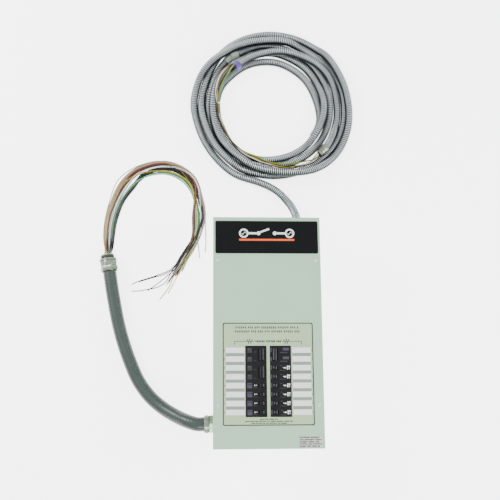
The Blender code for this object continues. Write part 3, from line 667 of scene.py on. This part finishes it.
def whip_conduit():
    line = smooth(CONDUIT_ROUTE, 0.0017)
    jacket = sweep_mesh("grey_whip_conduit", line, CONDUIT_R - 0.0002, 28, jacket_ripple)
    pipe = add("grey_whip_conduit", jacket, JACKET, "enclosure", 60)
    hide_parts("liquidtight_conduit")
    wall = -(WIDTH / 2 - WALL_INSET)
    at = CONDUIT_EXIT
    gland = turned("whip_gland", (wall - 0.0002, at.y, at.z), (-1, 0, 0), [
        (-0.009, 0.0165), (-0.009, 0.0205), (0.0, 0.0205), (0.0, 0.0262, 6), (0.0012, 0.029, 6),
        (0.012, 0.029, 6), (0.0134, 0.0272, 6), (0.0142, 0.025), (0.016, 0.025),
        (0.0166, 0.0266), (0.0245, 0.0262), (0.0272, 0.024), (0.0285, 0.0222), (0.0285, 0.0165)],
        48, ZINC)
    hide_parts("conduit_connector")
    locknut = turned("whip_locknut", (wall + 0.0023, at.y, at.z), (1, 0, 0), [
        (0.0, 0.0208), (0.0, 0.0262, 8), (0.0036, 0.0262, 8), (0.0046, 0.025, 8), (0.0046, 0.0208)],
        48, ZINC)
    end = Vector(CONDUIT_ROUTE[-1])
    axis = (end - Vector(CONDUIT_ROUTE[-2])).normalized()
    ribs = []
    for n in range(5):
        s = 0.0405 + 0.0021 * n
        ribs += [(s, THREAD_R - 0.0009), (s + 0.001, THREAD_R)]
    nose = turned("whip_end_fitting", end + axis * 0.0005, axis, [
        (0.0, 0.0216), (0.0, 0.0246), (0.0018, 0.0262, 6), (0.003, 0.027, 6), (0.0155, 0.027, 6),
        (0.0168, 0.0262, 6), (0.0176, 0.024), (0.02, 0.024), (0.0206, 0.0258, 8),
        (0.029, 0.0264, 8), (0.03, 0.024), (0.0328, 0.024), (0.0332, 0.0262),
        (0.0392, 0.0262), (0.0398, 0.0205), *ribs, (0.0518, THREAD_R - 0.0009),
        (0.0526, THREAD_R - 0.0022), (0.0526, 0.0178), (0.03, 0.0172)], 48, ZINC)
    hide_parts("conduit_end_fitting")
    throat = turned("whip_end_throat", end + axis * 0.031, axis, [
        (0.0, 0.006), (0.0, 0.0168), (0.02, 0.0176), (0.0222, 0.0192), (0.0232, 0.0186),
        (0.0236, 0.0166), (0.0215, 0.0156), (0.004, 0.015), (0.003, 0.006)], 36, GREY_PLASTIC)
    return end + axis * 0.04, axis


# ---- loose wires of the whip ----
# inner and outer edge of the fan of wires, from the fitting round to where the tails part
FAN = [((-0.48, 0.256), (-0.498, 0.259)), ((-0.477, 0.284), (-0.501, 0.285)),
       ((-0.472, 0.336), (-0.506, 0.336)), ((-0.464, 0.386), (-0.502, 0.391)),
       ((-0.445, 0.443), (-0.487, 0.45)), ((-0.415, 0.487), (-0.459, 0.514)),
       ((-0.378, 0.526), (-0.41, 0.559)), ((-0.323, 0.542), (-0.331, 0.581)),
       ((-0.283, 0.526), (-0.272, 0.571)), ((-0.251, 0.493), (-0.219, 0.529)),
       ((-0.232, 0.446), (-0.196, 0.464)), ((-0.227, 0.398), (-0.185, 0.398)),
       ((-0.232, 0.331), (-0.2, 0.331)), ((-0.26, 0.27), (-0.228, 0.274)),
       ((-0.284, 0.224), (-0.251, 0.229))]
# colour, share across the fan (0 inner, 1 outer) at the fitting, lower left, upper left, top, upper
# right, right and lower right, the last fan section that the wire follows, and the rest of its way
FAN_SHARES_AT = (0, 3, 5, 7, 9, 11, 13)
WHIP_WIRES = [
    ("black", (.02, .04, .04, .3, .62, .8, .1), 13,
     [(-.292, .223), (-.328, .206), (-.364, .193), (-.395, .183), (-.415, .173)]),
    ("dark_green", (.3, .24, .12, .12, .4, .55, .7), 13, [(-.262, .232), (-.272, .214)]),
    ("black", (.1, .1, .1, .38, .7, .86, .16), 13,
     [(-.281, .228), (-.31, .2075), (-.35, .196), (-.394, .1825)]),
    ("green", (.4, .3, .18, .06, .34, .48, .6), 13, [(-.268, .226), (-.28, .204)]),
    ("black", (.18, .16, .14, .46, .76, .9, .24), 13,
     [(-.279, .225), (-.303, .202), (-.328, .181), (-.3645, .154)]),
    ("brown", (.56, .58, .62, .78, .66, .06, .42), 13, [(-.272, .222), (-.29, .196), (-.301, .18)]),
    ("black", (.24, .34, .46, .7, .72, .76, .34), 13, [(-.274, .226), (-.287, .207)]),
    ("orange", (.78, .76, .78, .94, .82, .1, .46), 13, [(-.268, .222), (-.279, .2)]),
    ("navy", (.14, .2, .18, .52, .82, .84, .06), 13,
     [(-.29, .215), (-.309, .181), (-.336, .164), (-.364, .158), (-.388, .153), (-.415, .152)]),
    ("red", (.64, .7, .7, .9, .78, .12, .5), 13, [(-.264, .228), (-.271, .21)]),
    ("dark_brown", (.56, .52, .56, .72, .6, .18, .56), 13, [(-.266, .224), (-.274, .206)]),
    ("pale", (.48, .4, .22, .02, .28, .4, .66), 13, [(-.262, .222), (-.27, .206)]),
    ("lime", (.86, .84, .72, .16, .44, .32, .78), 13, [(-.255, .235), (-.261, .22)]),
    ("yellow", (.7, .8, .74, .22, .48, .26, .64), 13,
     [(-.266, .216), (-.29, .165), (-.301, .144)]),
    ("black", (.34, .08, .06, .34, .56, .78, .62), 13, [(-.264, .222), (-.272, .203)]),
    ("tan", (.9, .92, .9, .96, .88, .92, .72), 13, [(-.282, .211), (-.296, .19), (-.306, .17)]),
    ("white", (.46, .48, .46, .6, .9, .74, .86), 13, [(-.258, .228), (-.268, .206)]),
    ("grey", (.96, .97, .96, .98, .94, .96, .9), 13, [(-.282, .202), (-.298, .165), (-.327, .125)]),
    ("white", (.5, .54, .5, .64, .96, .7, .92), 12, [(-.25, .262), (-.264, .232)]),
    ("lime", (.94, .98, 1.16, 1.02, .52, .36, .82), 13, [(-.252, .236), (-.26, .218)]),
    ("green", (.3, .3, .26, -.04, .2, .62, .88), 13, [(-.248, .248), (-.254, .226)]),
    ("tan", (.8, .84, .84, 1.00, 1.02, 1.00, .96), 10,
     [(-.187, .405), (-.183, .333), (-.182, .31), (-.185, .28)]),
    ("grey", (.74, .76, .8, .97, 1.00, .94, .94), 11, [(-.208, .333), (-.206, .296), (-.202, .26)]),
    ("dark_brown", (.72, .66, .66, .82, .7, .14, .54), 13, [(-.265, .23), (-.273, .212)])]
WHIP_WIRE_R = 0.0016


def whip_wires(mouth, axis):
    inner = np.array([p[0] for p in FAN])
    outer = np.array([p[1] for p in FAN])
    stations = np.arange(len(FAN))
    routes = []
    for number, (_, shares, last, tail) in enumerate(WHIP_WIRES):
        ring = number % 12
        turn = 2 * math.pi * ring / 12 + 0.2
        spread = 0.0095 if number < 12 else 0.005
        side = (shares[0] - 0.5) * 0.019
        rise = math.sin(turn) * spread
        start = Vector(mouth) + Vector((axis.y, -axis.x, 0)) * -side + Vector((0, 0, rise))
        points = [tuple(start), tuple(start + axis * 0.012)]
        share = np.interp(stations, FAN_SHARES_AT, shares)
        for k in range(1, last + 1):
            x, y = inner[k] + (outer[k] - inner[k]) * share[k]
            level = max(0.0, (0.036 - 0.018 * k)) if k < 3 else 0.0
            points.append((x, y, 0.003 + level + 0.0014 * (number % 8)))
        points += [(x, y, 0.0022 + 0.0006 * (number % 3)) for x, y in tail]
        routes.append(smooth(points, 0.0055))
    routes = settle(routes, WHIP_WIRE_R, 110, 0.9, 0.00025, 0.02, pinned=3)
    names = {}
    for (colour, *_), line in zip(WHIP_WIRES, routes):
        names[colour] = names.get(colour, 0) + 1
        name = f"whip_wire_{colour}_{names[colour]}"
        wire = wire_curve(name, line, WHIP_WIRE_R, WIRES[colour])
        if colour == "black" and names[colour] == 1:
            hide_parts("wire_bundle")


# ---- coiled flexible metal conduit ----
def strip_conduit(name, line):
    return add(name, strip_mesh(name, line, FMC_R), [CONDUIT, GROOVE_SHADE], "enclosure",
               80)


def coil_conduits():
    wall = HEIGHT / 2 - WALL_INSET
    at = FMC_EXIT
    hub = turned("conduit_hub", (at.x, wall + 0.0002, at.z), (0, 1, 0), [
        (-0.009, 0.008), (-0.009, 0.0105), (0.0, 0.0105), (0.0, 0.015), (0.001, 0.0166),
        (0.005, 0.0166), (0.0058, 0.015), (0.0078, 0.015), (0.0086, 0.017),
        (0.0215, 0.017), (0.0236, 0.016), (0.024, 0.0132)], 40, ZINC)
    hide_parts("fmc_connector")
    locknut = turned("conduit_locknut", (at.x, wall - 0.0023, at.z), (0, -1, 0), [
        (0.0, 0.0107), (0.0, 0.0155, 8), (0.003, 0.0155, 8), (0.0037, 0.0146, 8), (0.0037, 0.0107)],
        40, ZINC)
    bm = bmesh.new()
    for side in (-1, 1):
        spot = Matrix.Translation((at.x + side * 0.012, wall + 0.015, at.z + 0.0138))
        bmesh.ops.create_cone(bm, cap_ends=True, segments=14, radius1=0.0032, radius2=0.0032,
                              depth=0.006, matrix=spot)
    hub_screws = add("hub_screws", mesh_from(bm, "hub_screws"), STEEL, "enclosure")
    main = strip_conduit("long_flexible_conduit", main_line)
    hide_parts("fmc_lead", "fmc_coil")
    tail_dir = Vector(main_line[-1] - main_line[-4]).normalized()
    tail = turned("long_conduit_end", Vector(main_line[-1]) - tail_dir * 0.012, tail_dir, [
        (0.0, 0.0124), (0.0, 0.0136), (0.014, 0.0136), (0.015, 0.0124), (0.015, 0.008)], 32, ZINC)

    short = strip_conduit("short_flexible_conduit", short_line)
    back = Vector(short_line[0] - short_line[3]).normalized()
    bushing = turned("purple_bushing", Vector(short_line[0]) - back * 0.004, back, [
        (0.0, 0.0118), (0.0, 0.0137), (0.008, 0.0137), (0.0095, 0.0128), (0.0145, 0.012),
        (0.0155, 0.0105), (0.0155, 0.007), (0.006, 0.0065)], 32, PURPLE)
    sleeve = turned("conduit_sleeve", SLEEVE_AT - SLEEVE_DIR * 0.016, SLEEVE_DIR, [
        (0.0, 0.0129), (0.0, 0.0145), (0.0012, 0.0152), (0.015, 0.0152), (0.016, 0.014),
        (0.0185, 0.014), (0.0195, 0.015), (0.0245, 0.015), (0.0255, 0.0125),
        (0.032, 0.0118), (0.032, 0.009), (0.02, 0.0085)], 36, ZINC)
    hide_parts("fmc_end_fitting")

    ring = strip_conduit("middle_flexible_conduit", ring_line)
    for name, line in (("coupling_near", ring_line[::-1]), ("coupling_far", ring_line)):
        out = Vector(line[0] - line[3]).normalized()
        turned(name, Vector(line[0]) - out * 0.008, out, [
            (0.0, 0.0129), (0.0, 0.0138), (0.0015, 0.0145, 8), (0.024, 0.0145, 8),
            (0.0255, 0.0138, 8), (0.026, 0.009)], 32, GREY_PLASTIC)


COIL_WIRE_ROUTE = [(.1845, .5998), (.168, .585), (.13, .571), (.1, .565), (.076, .563),
                   (.033, .567), (-.014, .586), (-.061, .607), (-.098, .648), (-.125, .698),
                   (-.14, .737), (-.145, .77), (-.148, .799), (-.142, .835), (-.129, .866),
                   (-.108, .896), (-.088, .912)]
COIL_WIRES = [("white", .0045, .0000), ("black", .001, .003), ("lime", -.005, .003),
              ("green", -.008, .0005), ("yellow", .0018, .0000), ("brown", .008, .001)]
COIL_WIRE_R = 0.0017


def coil_wires():
    base = smooth([(x, y, 0.0) for x, y in COIL_WIRE_ROUTE], 0.012)
    across = np.cross(np.gradient(base, axis=0), (0, 0, 1.0))
    across /= np.linalg.norm(across, axis=1)[:, None]
    tubes = np.vstack([main_line, short_line, ring_line])
    share = np.linspace(0, 1, len(base))
    routes = []
    for number, (_, out, lift) in enumerate(COIL_WIRES):
        spread = np.interp(share, (0, .06, .35, .62, .66, .8, .94, 1), (.4, 1, .8, .45, .25, .8, 1.5, .5))
        wander = 0.0018 * np.sin(share * 9 + number * 1.7)
        place = base - across * (out * spread + wander)[:, None]
        for i, p in enumerate(place):
            flat = np.hypot(tubes[:, 0] - p[0], tubes[:, 1] - p[1])
            reach = FMC_R + COIL_WIRE_R + 0.0004
            over = tubes[flat < reach, 2] + np.sqrt(reach ** 2 - flat[flat < reach] ** 2)
            p[2] = max([COIL_WIRE_R] + list(over)) + lift
        for _ in range(3):
            top = np.maximum(place[:, 2], np.maximum(np.roll(place[:, 2], 1), np.roll(place[:, 2], -1)))
            top[0], top[-1] = place[0, 2], place[-1, 2]
            place[1:-1, 2] = (top[:-2] + top[1:-1] + top[2:])[:] / 3
        place[0, 2] = SLEEVE_AT.z + lift - 0.001
        place[1, 2] = max(place[1, 2], SLEEVE_AT.z + lift)
        routes.append(smooth(place, 0.0045))
    solid = np.vstack([respace(t, 0.004) for t in (main_line, short_line, ring_line)])
    routes = settle(routes, COIL_WIRE_R, 40, 0.9, 0.0002, 0.03, pinned=2, solid=solid, solid_radius=FMC_R)
    for (colour, *_), line in zip(COIL_WIRES, routes):
        wire = wire_curve(f"coil_wire_{colour}", line, COIL_WIRE_R, WIRES[colour])
    tie = np.array((-0.145, 0.772))
    near = [min(range(2, len(r) - 2), key=lambda i: np.hypot(*(r[i][:2] - tie))) for r in routes]
    held = np.array([r[i] for r, i in zip(routes, near)])
    middle = held.mean(axis=0)
    along = routes[0][near[0] + 2] - routes[0][near[0] - 2]
    reach = min(0.0065, float(np.linalg.norm(held - middle, axis=1).max()) + COIL_WIRE_R)
    turned("white_wire_tie", middle - along / np.linalg.norm(along) * 0.0018, along, [
        (0.0, reach), (0.0, reach + 0.0012), (0.0036, reach + 0.0012), (0.0036, reach)], 24,
        NYLON, True)


mouth_at, mouth_axis = whip_conduit()
whip_wires(mouth_at, mouth_axis)
coil_conduits()
coil_wires()


# ---- print on the cover ----
def ink(name, boxes, mat):
    add(name, boxes_mesh(name, boxes), mat, "cover")


def bar(x0, x1, y0, y1, z, thick=0.00018):
    return (x0, y0, z), (x1, y1, z + thick)


def greeked(x0, x1, y, high, z, fill=1.0, wide=0.62):
    """A row of blank word-shaped marks: small blocks grouped into words, with no letters in them."""
    blocks = []
    x = x0
    word = dice.randint(3, 8)
    while x + high * wide < x1:
        drop = high * dice.choice((0.0, 0.0, 0.12, 0.2))
        blocks.append(bar(x, x + high * wide * fill, y - high / 2 + drop, y + high / 2, z))
        x += high * wide + high * 0.24
        word -= 1
        if not word:
            x += high * 0.5
            word = dice.randint(3, 8)
    return blocks


def outline(x0, x1, y0, y1, line, z):
    return [bar(x0, x1, y0, y0 + line, z), bar(x0, x1, y1 - line, y1, z),
            bar(x0, x0 + line, y0 + line, y1 - line, z), bar(x1 - line, x1, y0 + line, y1 - line, z)]


def disc_mesh(name, rings):
    """Flat rings: (x, y, inner radius, outer radius, z)."""
    points, faces = [], []
    for x, y, inner, outer, z in rings:
        base = len(points)
        sides = 40
        for k in range(sides):
            turn = 2 * math.pi * k / sides
            for r, up in ((inner, 0.0), (inner, 0.0002), (outer, 0.0002), (outer, 0.0)):
                points.append((x + r * math.cos(turn), y + r * math.sin(turn), z + up))
        for k in range(sides):
            a, b = base + 4 * k, base + 4 * ((k + 1) % sides)
            faces += [(a + i, a + (i + 1) % 4, b + (i + 1) % 4, b + i) for i in range(4)]
    return facing_out(mesh_of(name, points, faces))


def prism_mesh(name, outlines, z, thick=0.0002):
    """Flat closed shapes of this thickness standing on height z."""
    bm = bmesh.new()
    for outline_points in outlines:
        face = bm.faces.new([bm.verts.new((x, y, z)) for x, y in outline_points])
        top = bmesh.ops.extrude_face_region(bm, geom=[face])["geom"]
        bmesh.ops.translate(bm, vec=(0, 0, thick),
                            verts=[v for v in top if isinstance(v, bmesh.types.BMVert)])
    bmesh.ops.recalc_face_normals(bm, faces=bm.faces)
    return mesh_from(bm, name)


def rounded(x0, x1, y0, y1, r, steps=6):
    """The corners of a rectangle with rounded corners, anticlockwise."""
    points = []
    for cx, cy, first in ((x1 - r, y0 + r, -90), (x1 - r, y1 - r, 0), (x0 + r, y1 - r, 90),
                          (x0 + r, y0 + r, 180)):
        for k in range(steps + 1):
            turn = math.radians(first + 90 * k / steps)
            points.append((cx + r * math.cos(turn), cy + r * math.sin(turn)))
    return points


def frame_mesh(name, x0, x1, y0, y1, r, line, z, thick=0.00018):
    """A rounded rectangular line standing on height z."""
    outer = rounded(x0, x1, y0, y1, r)
    inner = rounded(x0 + line, x1 - line, y0 + line, y1 - line, r - line)
    points = []
    for (ox, oy), (ix, iy) in zip(outer, inner):
        points += [(ox, oy, z), (ox, oy, z + thick), (ix, iy, z + thick), (ix, iy, z)]
    faces = []
    for k in range(len(outer)):
        a, b = 4 * k, 4 * ((k + 1) % len(outer))
        faces += [(a + i, b + i, b + (i + 1) % 4, a + (i + 1) % 4) for i in range(4)]
    return mesh_of(name, points, faces)


def header_mark():
    """A black plate with two sources, two contacts and the moving blade of a changeover switch."""
    top = 0.3275
    plate = add("header_panel", prism_mesh("header_panel", [rounded(-0.152, 0.152, 0.2285, top, 0.0045)],
                                           DEPTH + 0.0003, 0.0012), NAMEPLATE, "cover")
    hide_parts("header_plate")
    y, z = HEADER_Y + 0.013, HEADER_TOP
    add("header_sources", disc_mesh("header_sources", [
        (-0.068, y, 0.0092, 0.014, z), (0.068, y, 0.0092, 0.014, z), (-0.024, y, 0.0, 0.0058, z),
        (0.024, y, 0.0, 0.0058, z)]), WHITE_INK, "cover")
    waves = []
    for x in (-0.068, 0.068):
        crest = [(x + 0.0062 * n / 8, y + 0.0036 * math.sin(math.pi * n / 8) + 0.0012) for n in range(-8, 9)]
        waves.append([(px, py - 0.0024) for px, py in crest] + list(reversed(crest)))
    half = 0.003
    bars = [[(-0.054, y - half), (-0.029, y - half), (-0.029, y + half), (-0.054, y + half)],
            [(0.029, y - half), (0.054, y - half), (0.054, y + half), (0.029, y + half)],
            [(-0.0195, y + 0.0005), (0.0085, y + 0.011), (0.006, y + 0.016), (-0.0215, y + 0.005)]]
    add("header_lines", prism_mesh("header_lines", waves + bars, z), WHITE_INK, "cover")
    low = HEADER_Y - 0.01
    add("header_rule", prism_mesh("header_rule", [rounded(-0.082, 0.082, low, low + 0.006, 0.002)], z),
        ORANGE_INK, "cover")


def directory_print():
    z = DIRECTORY_TOP
    left, right = -DIRECTORY[0] / 2, DIRECTORY[0] / 2
    low, high = DIRECTORY_Y - DIRECTORY[1] / 2, DIRECTORY_Y + DIRECTORY[1] / 2
    add("directory_frame", frame_mesh("directory_frame", left + 0.0006, right - 0.0006, low + 0.0006,
                                      high - 0.0006, 0.005, 0.0026, z), GREY_INK, "cover")
    title = greeked(-0.094, 0.094, 0.0068, 0.0064, z, 0.85)
    title += greeked(-0.096, 0.097, -0.0048, 0.0064, z, 0.85)
    ink("directory_title", title, TITLE_INK)
    dark = []
    line_y = -0.0335
    for side in (-1, 1):
        outer, inner = side * 0.097, side * 0.04
        dark.append(bar(min(outer, inner), max(outer, inner), line_y - 0.0007, line_y + 0.0007, z))
        dark.append(bar(outer - 0.0007, outer + 0.0007, line_y - 0.0105, line_y, z))
        for n, reach in enumerate((0.005, -0.007, 0.0074, -0.007, 0.0054)):
            x = side * (0.046 + 0.0034 * n)
            dark.append(bar(x - 0.0012, x + 0.0012, line_y + min(0.0, reach), line_y + max(0.0, reach), z))
    dark += greeked(-0.0365, 0.038, line_y, 0.0054, z)
    dark += greeked(-0.026, 0.027, -0.2568, 0.0034, z)
    dark += greeked(-0.068, 0.07, -0.2625, 0.0032, z) + greeked(-0.05, 0.053, -0.268, 0.0032, z)
    ink("directory_print", dark, GREY_INK)
    paper, strip, rule = [], [], []
    for side, x0, x1 in ((-1, -0.1223, -0.0681), (1, 0.0693, 0.1237)):
        for row in range(ROWS):
            y = WINDOW_Y + (ROWS / 2 - 0.5 - row) * PITCH
            paper.append(bar(x0, x1, y - 0.008, y + 0.008, z, 0.0003))
            rule += outline(x0 - 0.0004, x1 + 0.0004, y - 0.0084, y + 0.0084, 0.0004, z)
            number = side * 0.126
            rule += [bar(number - 0.0009, number + 0.0009, y - 0.0022, y + 0.0022, z)]
            if row < ROWS - 1:
                strip.append(bar(x0 + 0.001, x1 - 0.001, y - PITCH / 2 - 0.0038, y - PITCH / 2 + 0.0038, z))
    ink("directory_labels", paper, PAPER)
    ink("directory_strips", strip, STRIP_INK)
    ink("directory_rules", rule, PALE_INK)
    x0, x1, y0, y1 = 0.0843, 0.1535, -0.3372, -0.304
    z = DEPTH
    ink("rating_label", [bar(x0, x1, y0, y1, z, 0.0003)], PAPER_SOFT)
    rows = []
    for n in range(5):
        y = y1 - 0.0046 - n * 0.006
        rows += greeked(x0 + 0.003, x1 - (0.003 if n % 2 else 0.009), y, 0.0042, z + 0.0003)
    rows += outline(x0 + 0.001, x1 - 0.001, y0 + 0.001, y1 - 0.001, 0.0004, z + 0.0003)
    ink("rating_print", rows, GREY_INK)


SCREW_SIDES = 28


def cover_screws():
    for n in range(1, 5):
        low, high = [Vector(c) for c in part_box(f"cover_screw_{n}")]
        x, y = (low.x + high.x) / 2, (low.y + high.y) / 2
        bm = bmesh.new()
        rows = [(0.0, 0.0052), (0.001, 0.0054), (0.002, 0.0048), (0.0027, 0.0036), (0.003, 0.0022)]
        base = DEPTH + 0.0002
        loops = []
        for up, r in rows:
            loops.append([bm.verts.new((x + r * math.cos(turn), y + r * math.sin(turn), base + up))
                          for turn in (2 * math.pi * k / SCREW_SIDES for k in range(SCREW_SIDES))])
        for one, two in zip(loops, loops[1:]):
            for k in range(SCREW_SIDES):
                after = (k + 1) % SCREW_SIDES
                bm.faces.new((one[k], one[after], two[after], two[k]))
        bm.faces.new(list(reversed(loops[0])))
        bm.faces.new(loops[-1])
        add(f"pan_head_{n}", mesh_from(bm, f"pan_head_{n}"), STEEL, "cover")
        # the cross recess is drawn as a thin dark raised cross: painted shade in the recess
        cross = [((x - 0.0017, y - 0.0004, base + 0.0029), (x + 0.0017, y + 0.0004, base + 0.00315)),
                 ((x - 0.0004, y - 0.0017, base + 0.0029), (x + 0.0004, y + 0.0017, base + 0.00315))]
        add(f"pan_head_recess_{n}", boxes_mesh(f"pan_head_recess_{n}", cross), DARK, "cover")


# ---- breaker faces ----
# first row and number of poles of each breaker, from the top down
LEFT_BREAKERS = [(0, 2), (2, 2), (4, 1), (5, 1), (6, 1), (7, 1)]
RIGHT_BREAKERS = [(0, 2), (2, 1), (3, 1), (4, 1), (5, 1), (6, 1), (7, 1)]


def breaker_faces():
    """Blank labels, ratings patches, white and grey marks, seams and handle tips on the fronts of the
    breakers.
    """
    patches, whites, seams, marks = [], [], [], []
    for side, column in ((-1, LEFT_BREAKERS), (1, RIGHT_BREAKERS)):
        for first, poles in column:
            for pole in range(poles):
                row = first + pole
                y = WINDOW_Y + (ROWS / 2 - 0.5 - row) * PITCH
                z = NOSE_TOP

                def span(near, far, low, high, thick=0.0002):
                    xs = sorted((side * near, side * far))
                    return (xs[0], y + low, z), (xs[1], y + high, z + thick)

                strong = (row >= 4) if side < 0 else (row >= 2)
                if strong and side < 0:
                    patches.append(span(0.047, 0.061, -0.008, 0.0074))
                    marks += [span(0.033, 0.044, -0.0074, -0.0056),
                              span(0.0485, 0.059, 0.001, 0.0052, 0.0003)]
                    whites += [span(0.0385, 0.0405, -0.0016, 0.0022, 0.0003),
                               span(0.0335, 0.035, -0.0006, 0.002, 0.0003)]
                elif strong:
                    whites += [span(0.0535, 0.0565, -0.0056, 0.0056, 0.0003),
                               span(0.058, 0.0618, 0.0006, 0.0056, 0.0003),
                               span(0.059, 0.0612, -0.005, -0.0014, 0.0003),
                               span(0.045, 0.0505, -0.002, 0.0014, 0.0003),
                               span(0.042, 0.0432, -0.001, 0.0016, 0.0003)]
                    marks += [span(0.033, 0.05, -0.0088, -0.0066), span(0.034, 0.04, 0.0044, 0.0072)]
                    patches += [span(0.0062, 0.0108, -0.006, 0.006)]
                elif side < 0:
                    marks += [span(0.047, 0.06, -0.0078, 0.006), span(0.034, 0.042, -0.006, -0.004)]
                    patches += [span(0.053, 0.059, 0.001, 0.0046, 0.0003)]
                else:
                    patches += [span(0.042, 0.06, -0.001, 0.0068), span(0.0062, 0.0108, -0.006, 0.006)]
                    marks += [span(0.034, 0.056, -0.0088, -0.005)]
                seams += [span(0.0056, 0.0648, -0.0127, -0.0122, 0.0001)]
    for name, boxes, mat in (("breaker_patches", patches, PATCH), ("breaker_white_marks", whites, WHITE_INK),
                             ("breaker_grey_marks", marks, PATCH_DARK), ("breaker_seams", seams, DARK)):
        add(name, boxes_mesh(name, boxes), mat, "enclosure")
    for number in range(1, 14):
        low, high = [Vector(c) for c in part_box(f"breaker_handle_{number:02d}")]
        side = -1 if number <= 6 else 1
        middle = (low.y + high.y) / 2
        half = (high.y - low.y) / 2 - 0.0012
        lean = Matrix.Translation((side * 0.0201, middle, 0.1735)) @ Matrix.Rotation(
            math.radians(-20 * side), 4, "Y")
        bm = bmesh.new()
        cuboid(bm, (-0.0018, -half, 0.014), (0.0018, half, 0.01515), turn=lean)
        name = f"handle_tip_{number:02d}"
        add(name, mesh_from(bm, name), PATCH_DARK if side < 0 else PATCH, f"handle_{number:02d}")


def coil_windings():
    """Turns of wire and a band of tape on the two solenoids, the fuse caps and the relay's label."""
    turns = 16
    for name, low, high in (("utility", 0.224, 0.266), ("standby", 0.094, 0.136)):
        pitch = (high - low) / turns
        profile = [(0.0, 0.022)]
        for n in range(turns):
            profile += [(n * pitch, 0.0226), ((n + 0.25) * pitch, 0.0235), ((n + 0.75) * pitch, 0.0235)]
        profile += [(high - low, 0.0226), (high - low, 0.022)]
        turned(f"{name}_winding", (0, low, 0.125), (0, 1, 0), profile, 40, COPPER, True)
        middle = (low + high) / 2
        turned(f"{name}_coil_tape", (0, middle - 0.007, 0.125), (0, 1, 0), [
            (0.0, 0.0232), (0.0, 0.024), (0.014, 0.024), (0.014, 0.0232)], 40, PAPER_SOFT,
            True)
    for n, y in enumerate((0.098, 0.116, 0.134, 0.152)):
        for m, x in enumerate((-0.1325, -0.1115)):
            turned(f"fuse_cap_{n + 1}_{m + 1}", (x, y, 0.022), (1, 0, 0), [
                (0.0, 0.0052), (0.0, 0.0058), (0.006, 0.0058), (0.006, 0.0052)], 20, STEEL,
                True)
    add("relay_label", boxes_mesh("relay_label", [((0.1115, 0.0985, 0.055), (0.1285, 0.1195, 0.0552))]),
        PAPER_SOFT, "enclosure")


def knockouts():
    """Stamped rings of the knockouts on the four walls of the box, coloured darker as painted shade in the
    cuts.
    """
    x, y = WIDTH / 2 - WALL_INSET, HEIGHT / 2 - WALL_INSET
    spots = [((x, at, 0.07), (1, 0, 0)) for at in (-0.245, -0.12, 0.06, 0.22)]
    spots += [((-x, at, 0.07), (-1, 0, 0)) for at in (-0.12, 0.06, 0.22)]
    spots += [((at, -y, 0.07), (0, -1, 0)) for at in (-0.1, 0.0, 0.1)]
    spots += [((at, y, 0.07), (0, 1, 0)) for at in (-0.1, 0.0)]
    for number, (place, axis) in enumerate(spots, 1):
        for size, radius in (("small", 0.011), ("large", 0.017)):
            inner, outer = radius - 0.0004, radius + 0.0004
            turned(f"knockout_{number}_{size}", place, axis, [
                (-0.0001, inner), (0.0003, inner), (0.0003, outer), (-0.0001, outer)], 40, SEAM_SHADE,
                True)


header_mark()
directory_print()
cover_screws()
breaker_faces()
coil_windings()
knockouts()


# ---- finishes of the carried-over parts ----
FINISH = {"enclosure_box": ENAMEL, "front_cover": ENAMEL, "header_plate": NAMEPLATE,
          "directory_plate": FILM, "interior_rail": GALVANISED, "bus_base": INSULATOR,
          "line_bus": TINNED, "neutral_bar": TINNED, "neutral_insulator": INSULATOR,
          "ground_bar": TINNED, "transfer_base": GALVANISED, "contact_housing": PHENOLIC,
          "contact_carrier": PHENOLIC, "manual_lever": LEVER, "utility_coil": COPPER,
          "standby_coil": COPPER, "utility_plunger": STEEL, "standby_plunger": STEEL,
          "transfer_relay": INSULATOR, "fuse_block": PHENOLIC, "cover_screw": STEEL,
          "breaker_handle": HANDLE, "breaker": BREAKER, "conduit": ZINC, "liquidtight": JACKET,
          "wire_bundle": WIRES["black"], "fmc": CONDUIT}
for name, node in nodes.items():
    match = max((key for key in FINISH if name.startswith(key)), key=len)
    for place in range(len(node.material_slots)):
        node.material_slots[place].material = FINISH[match]
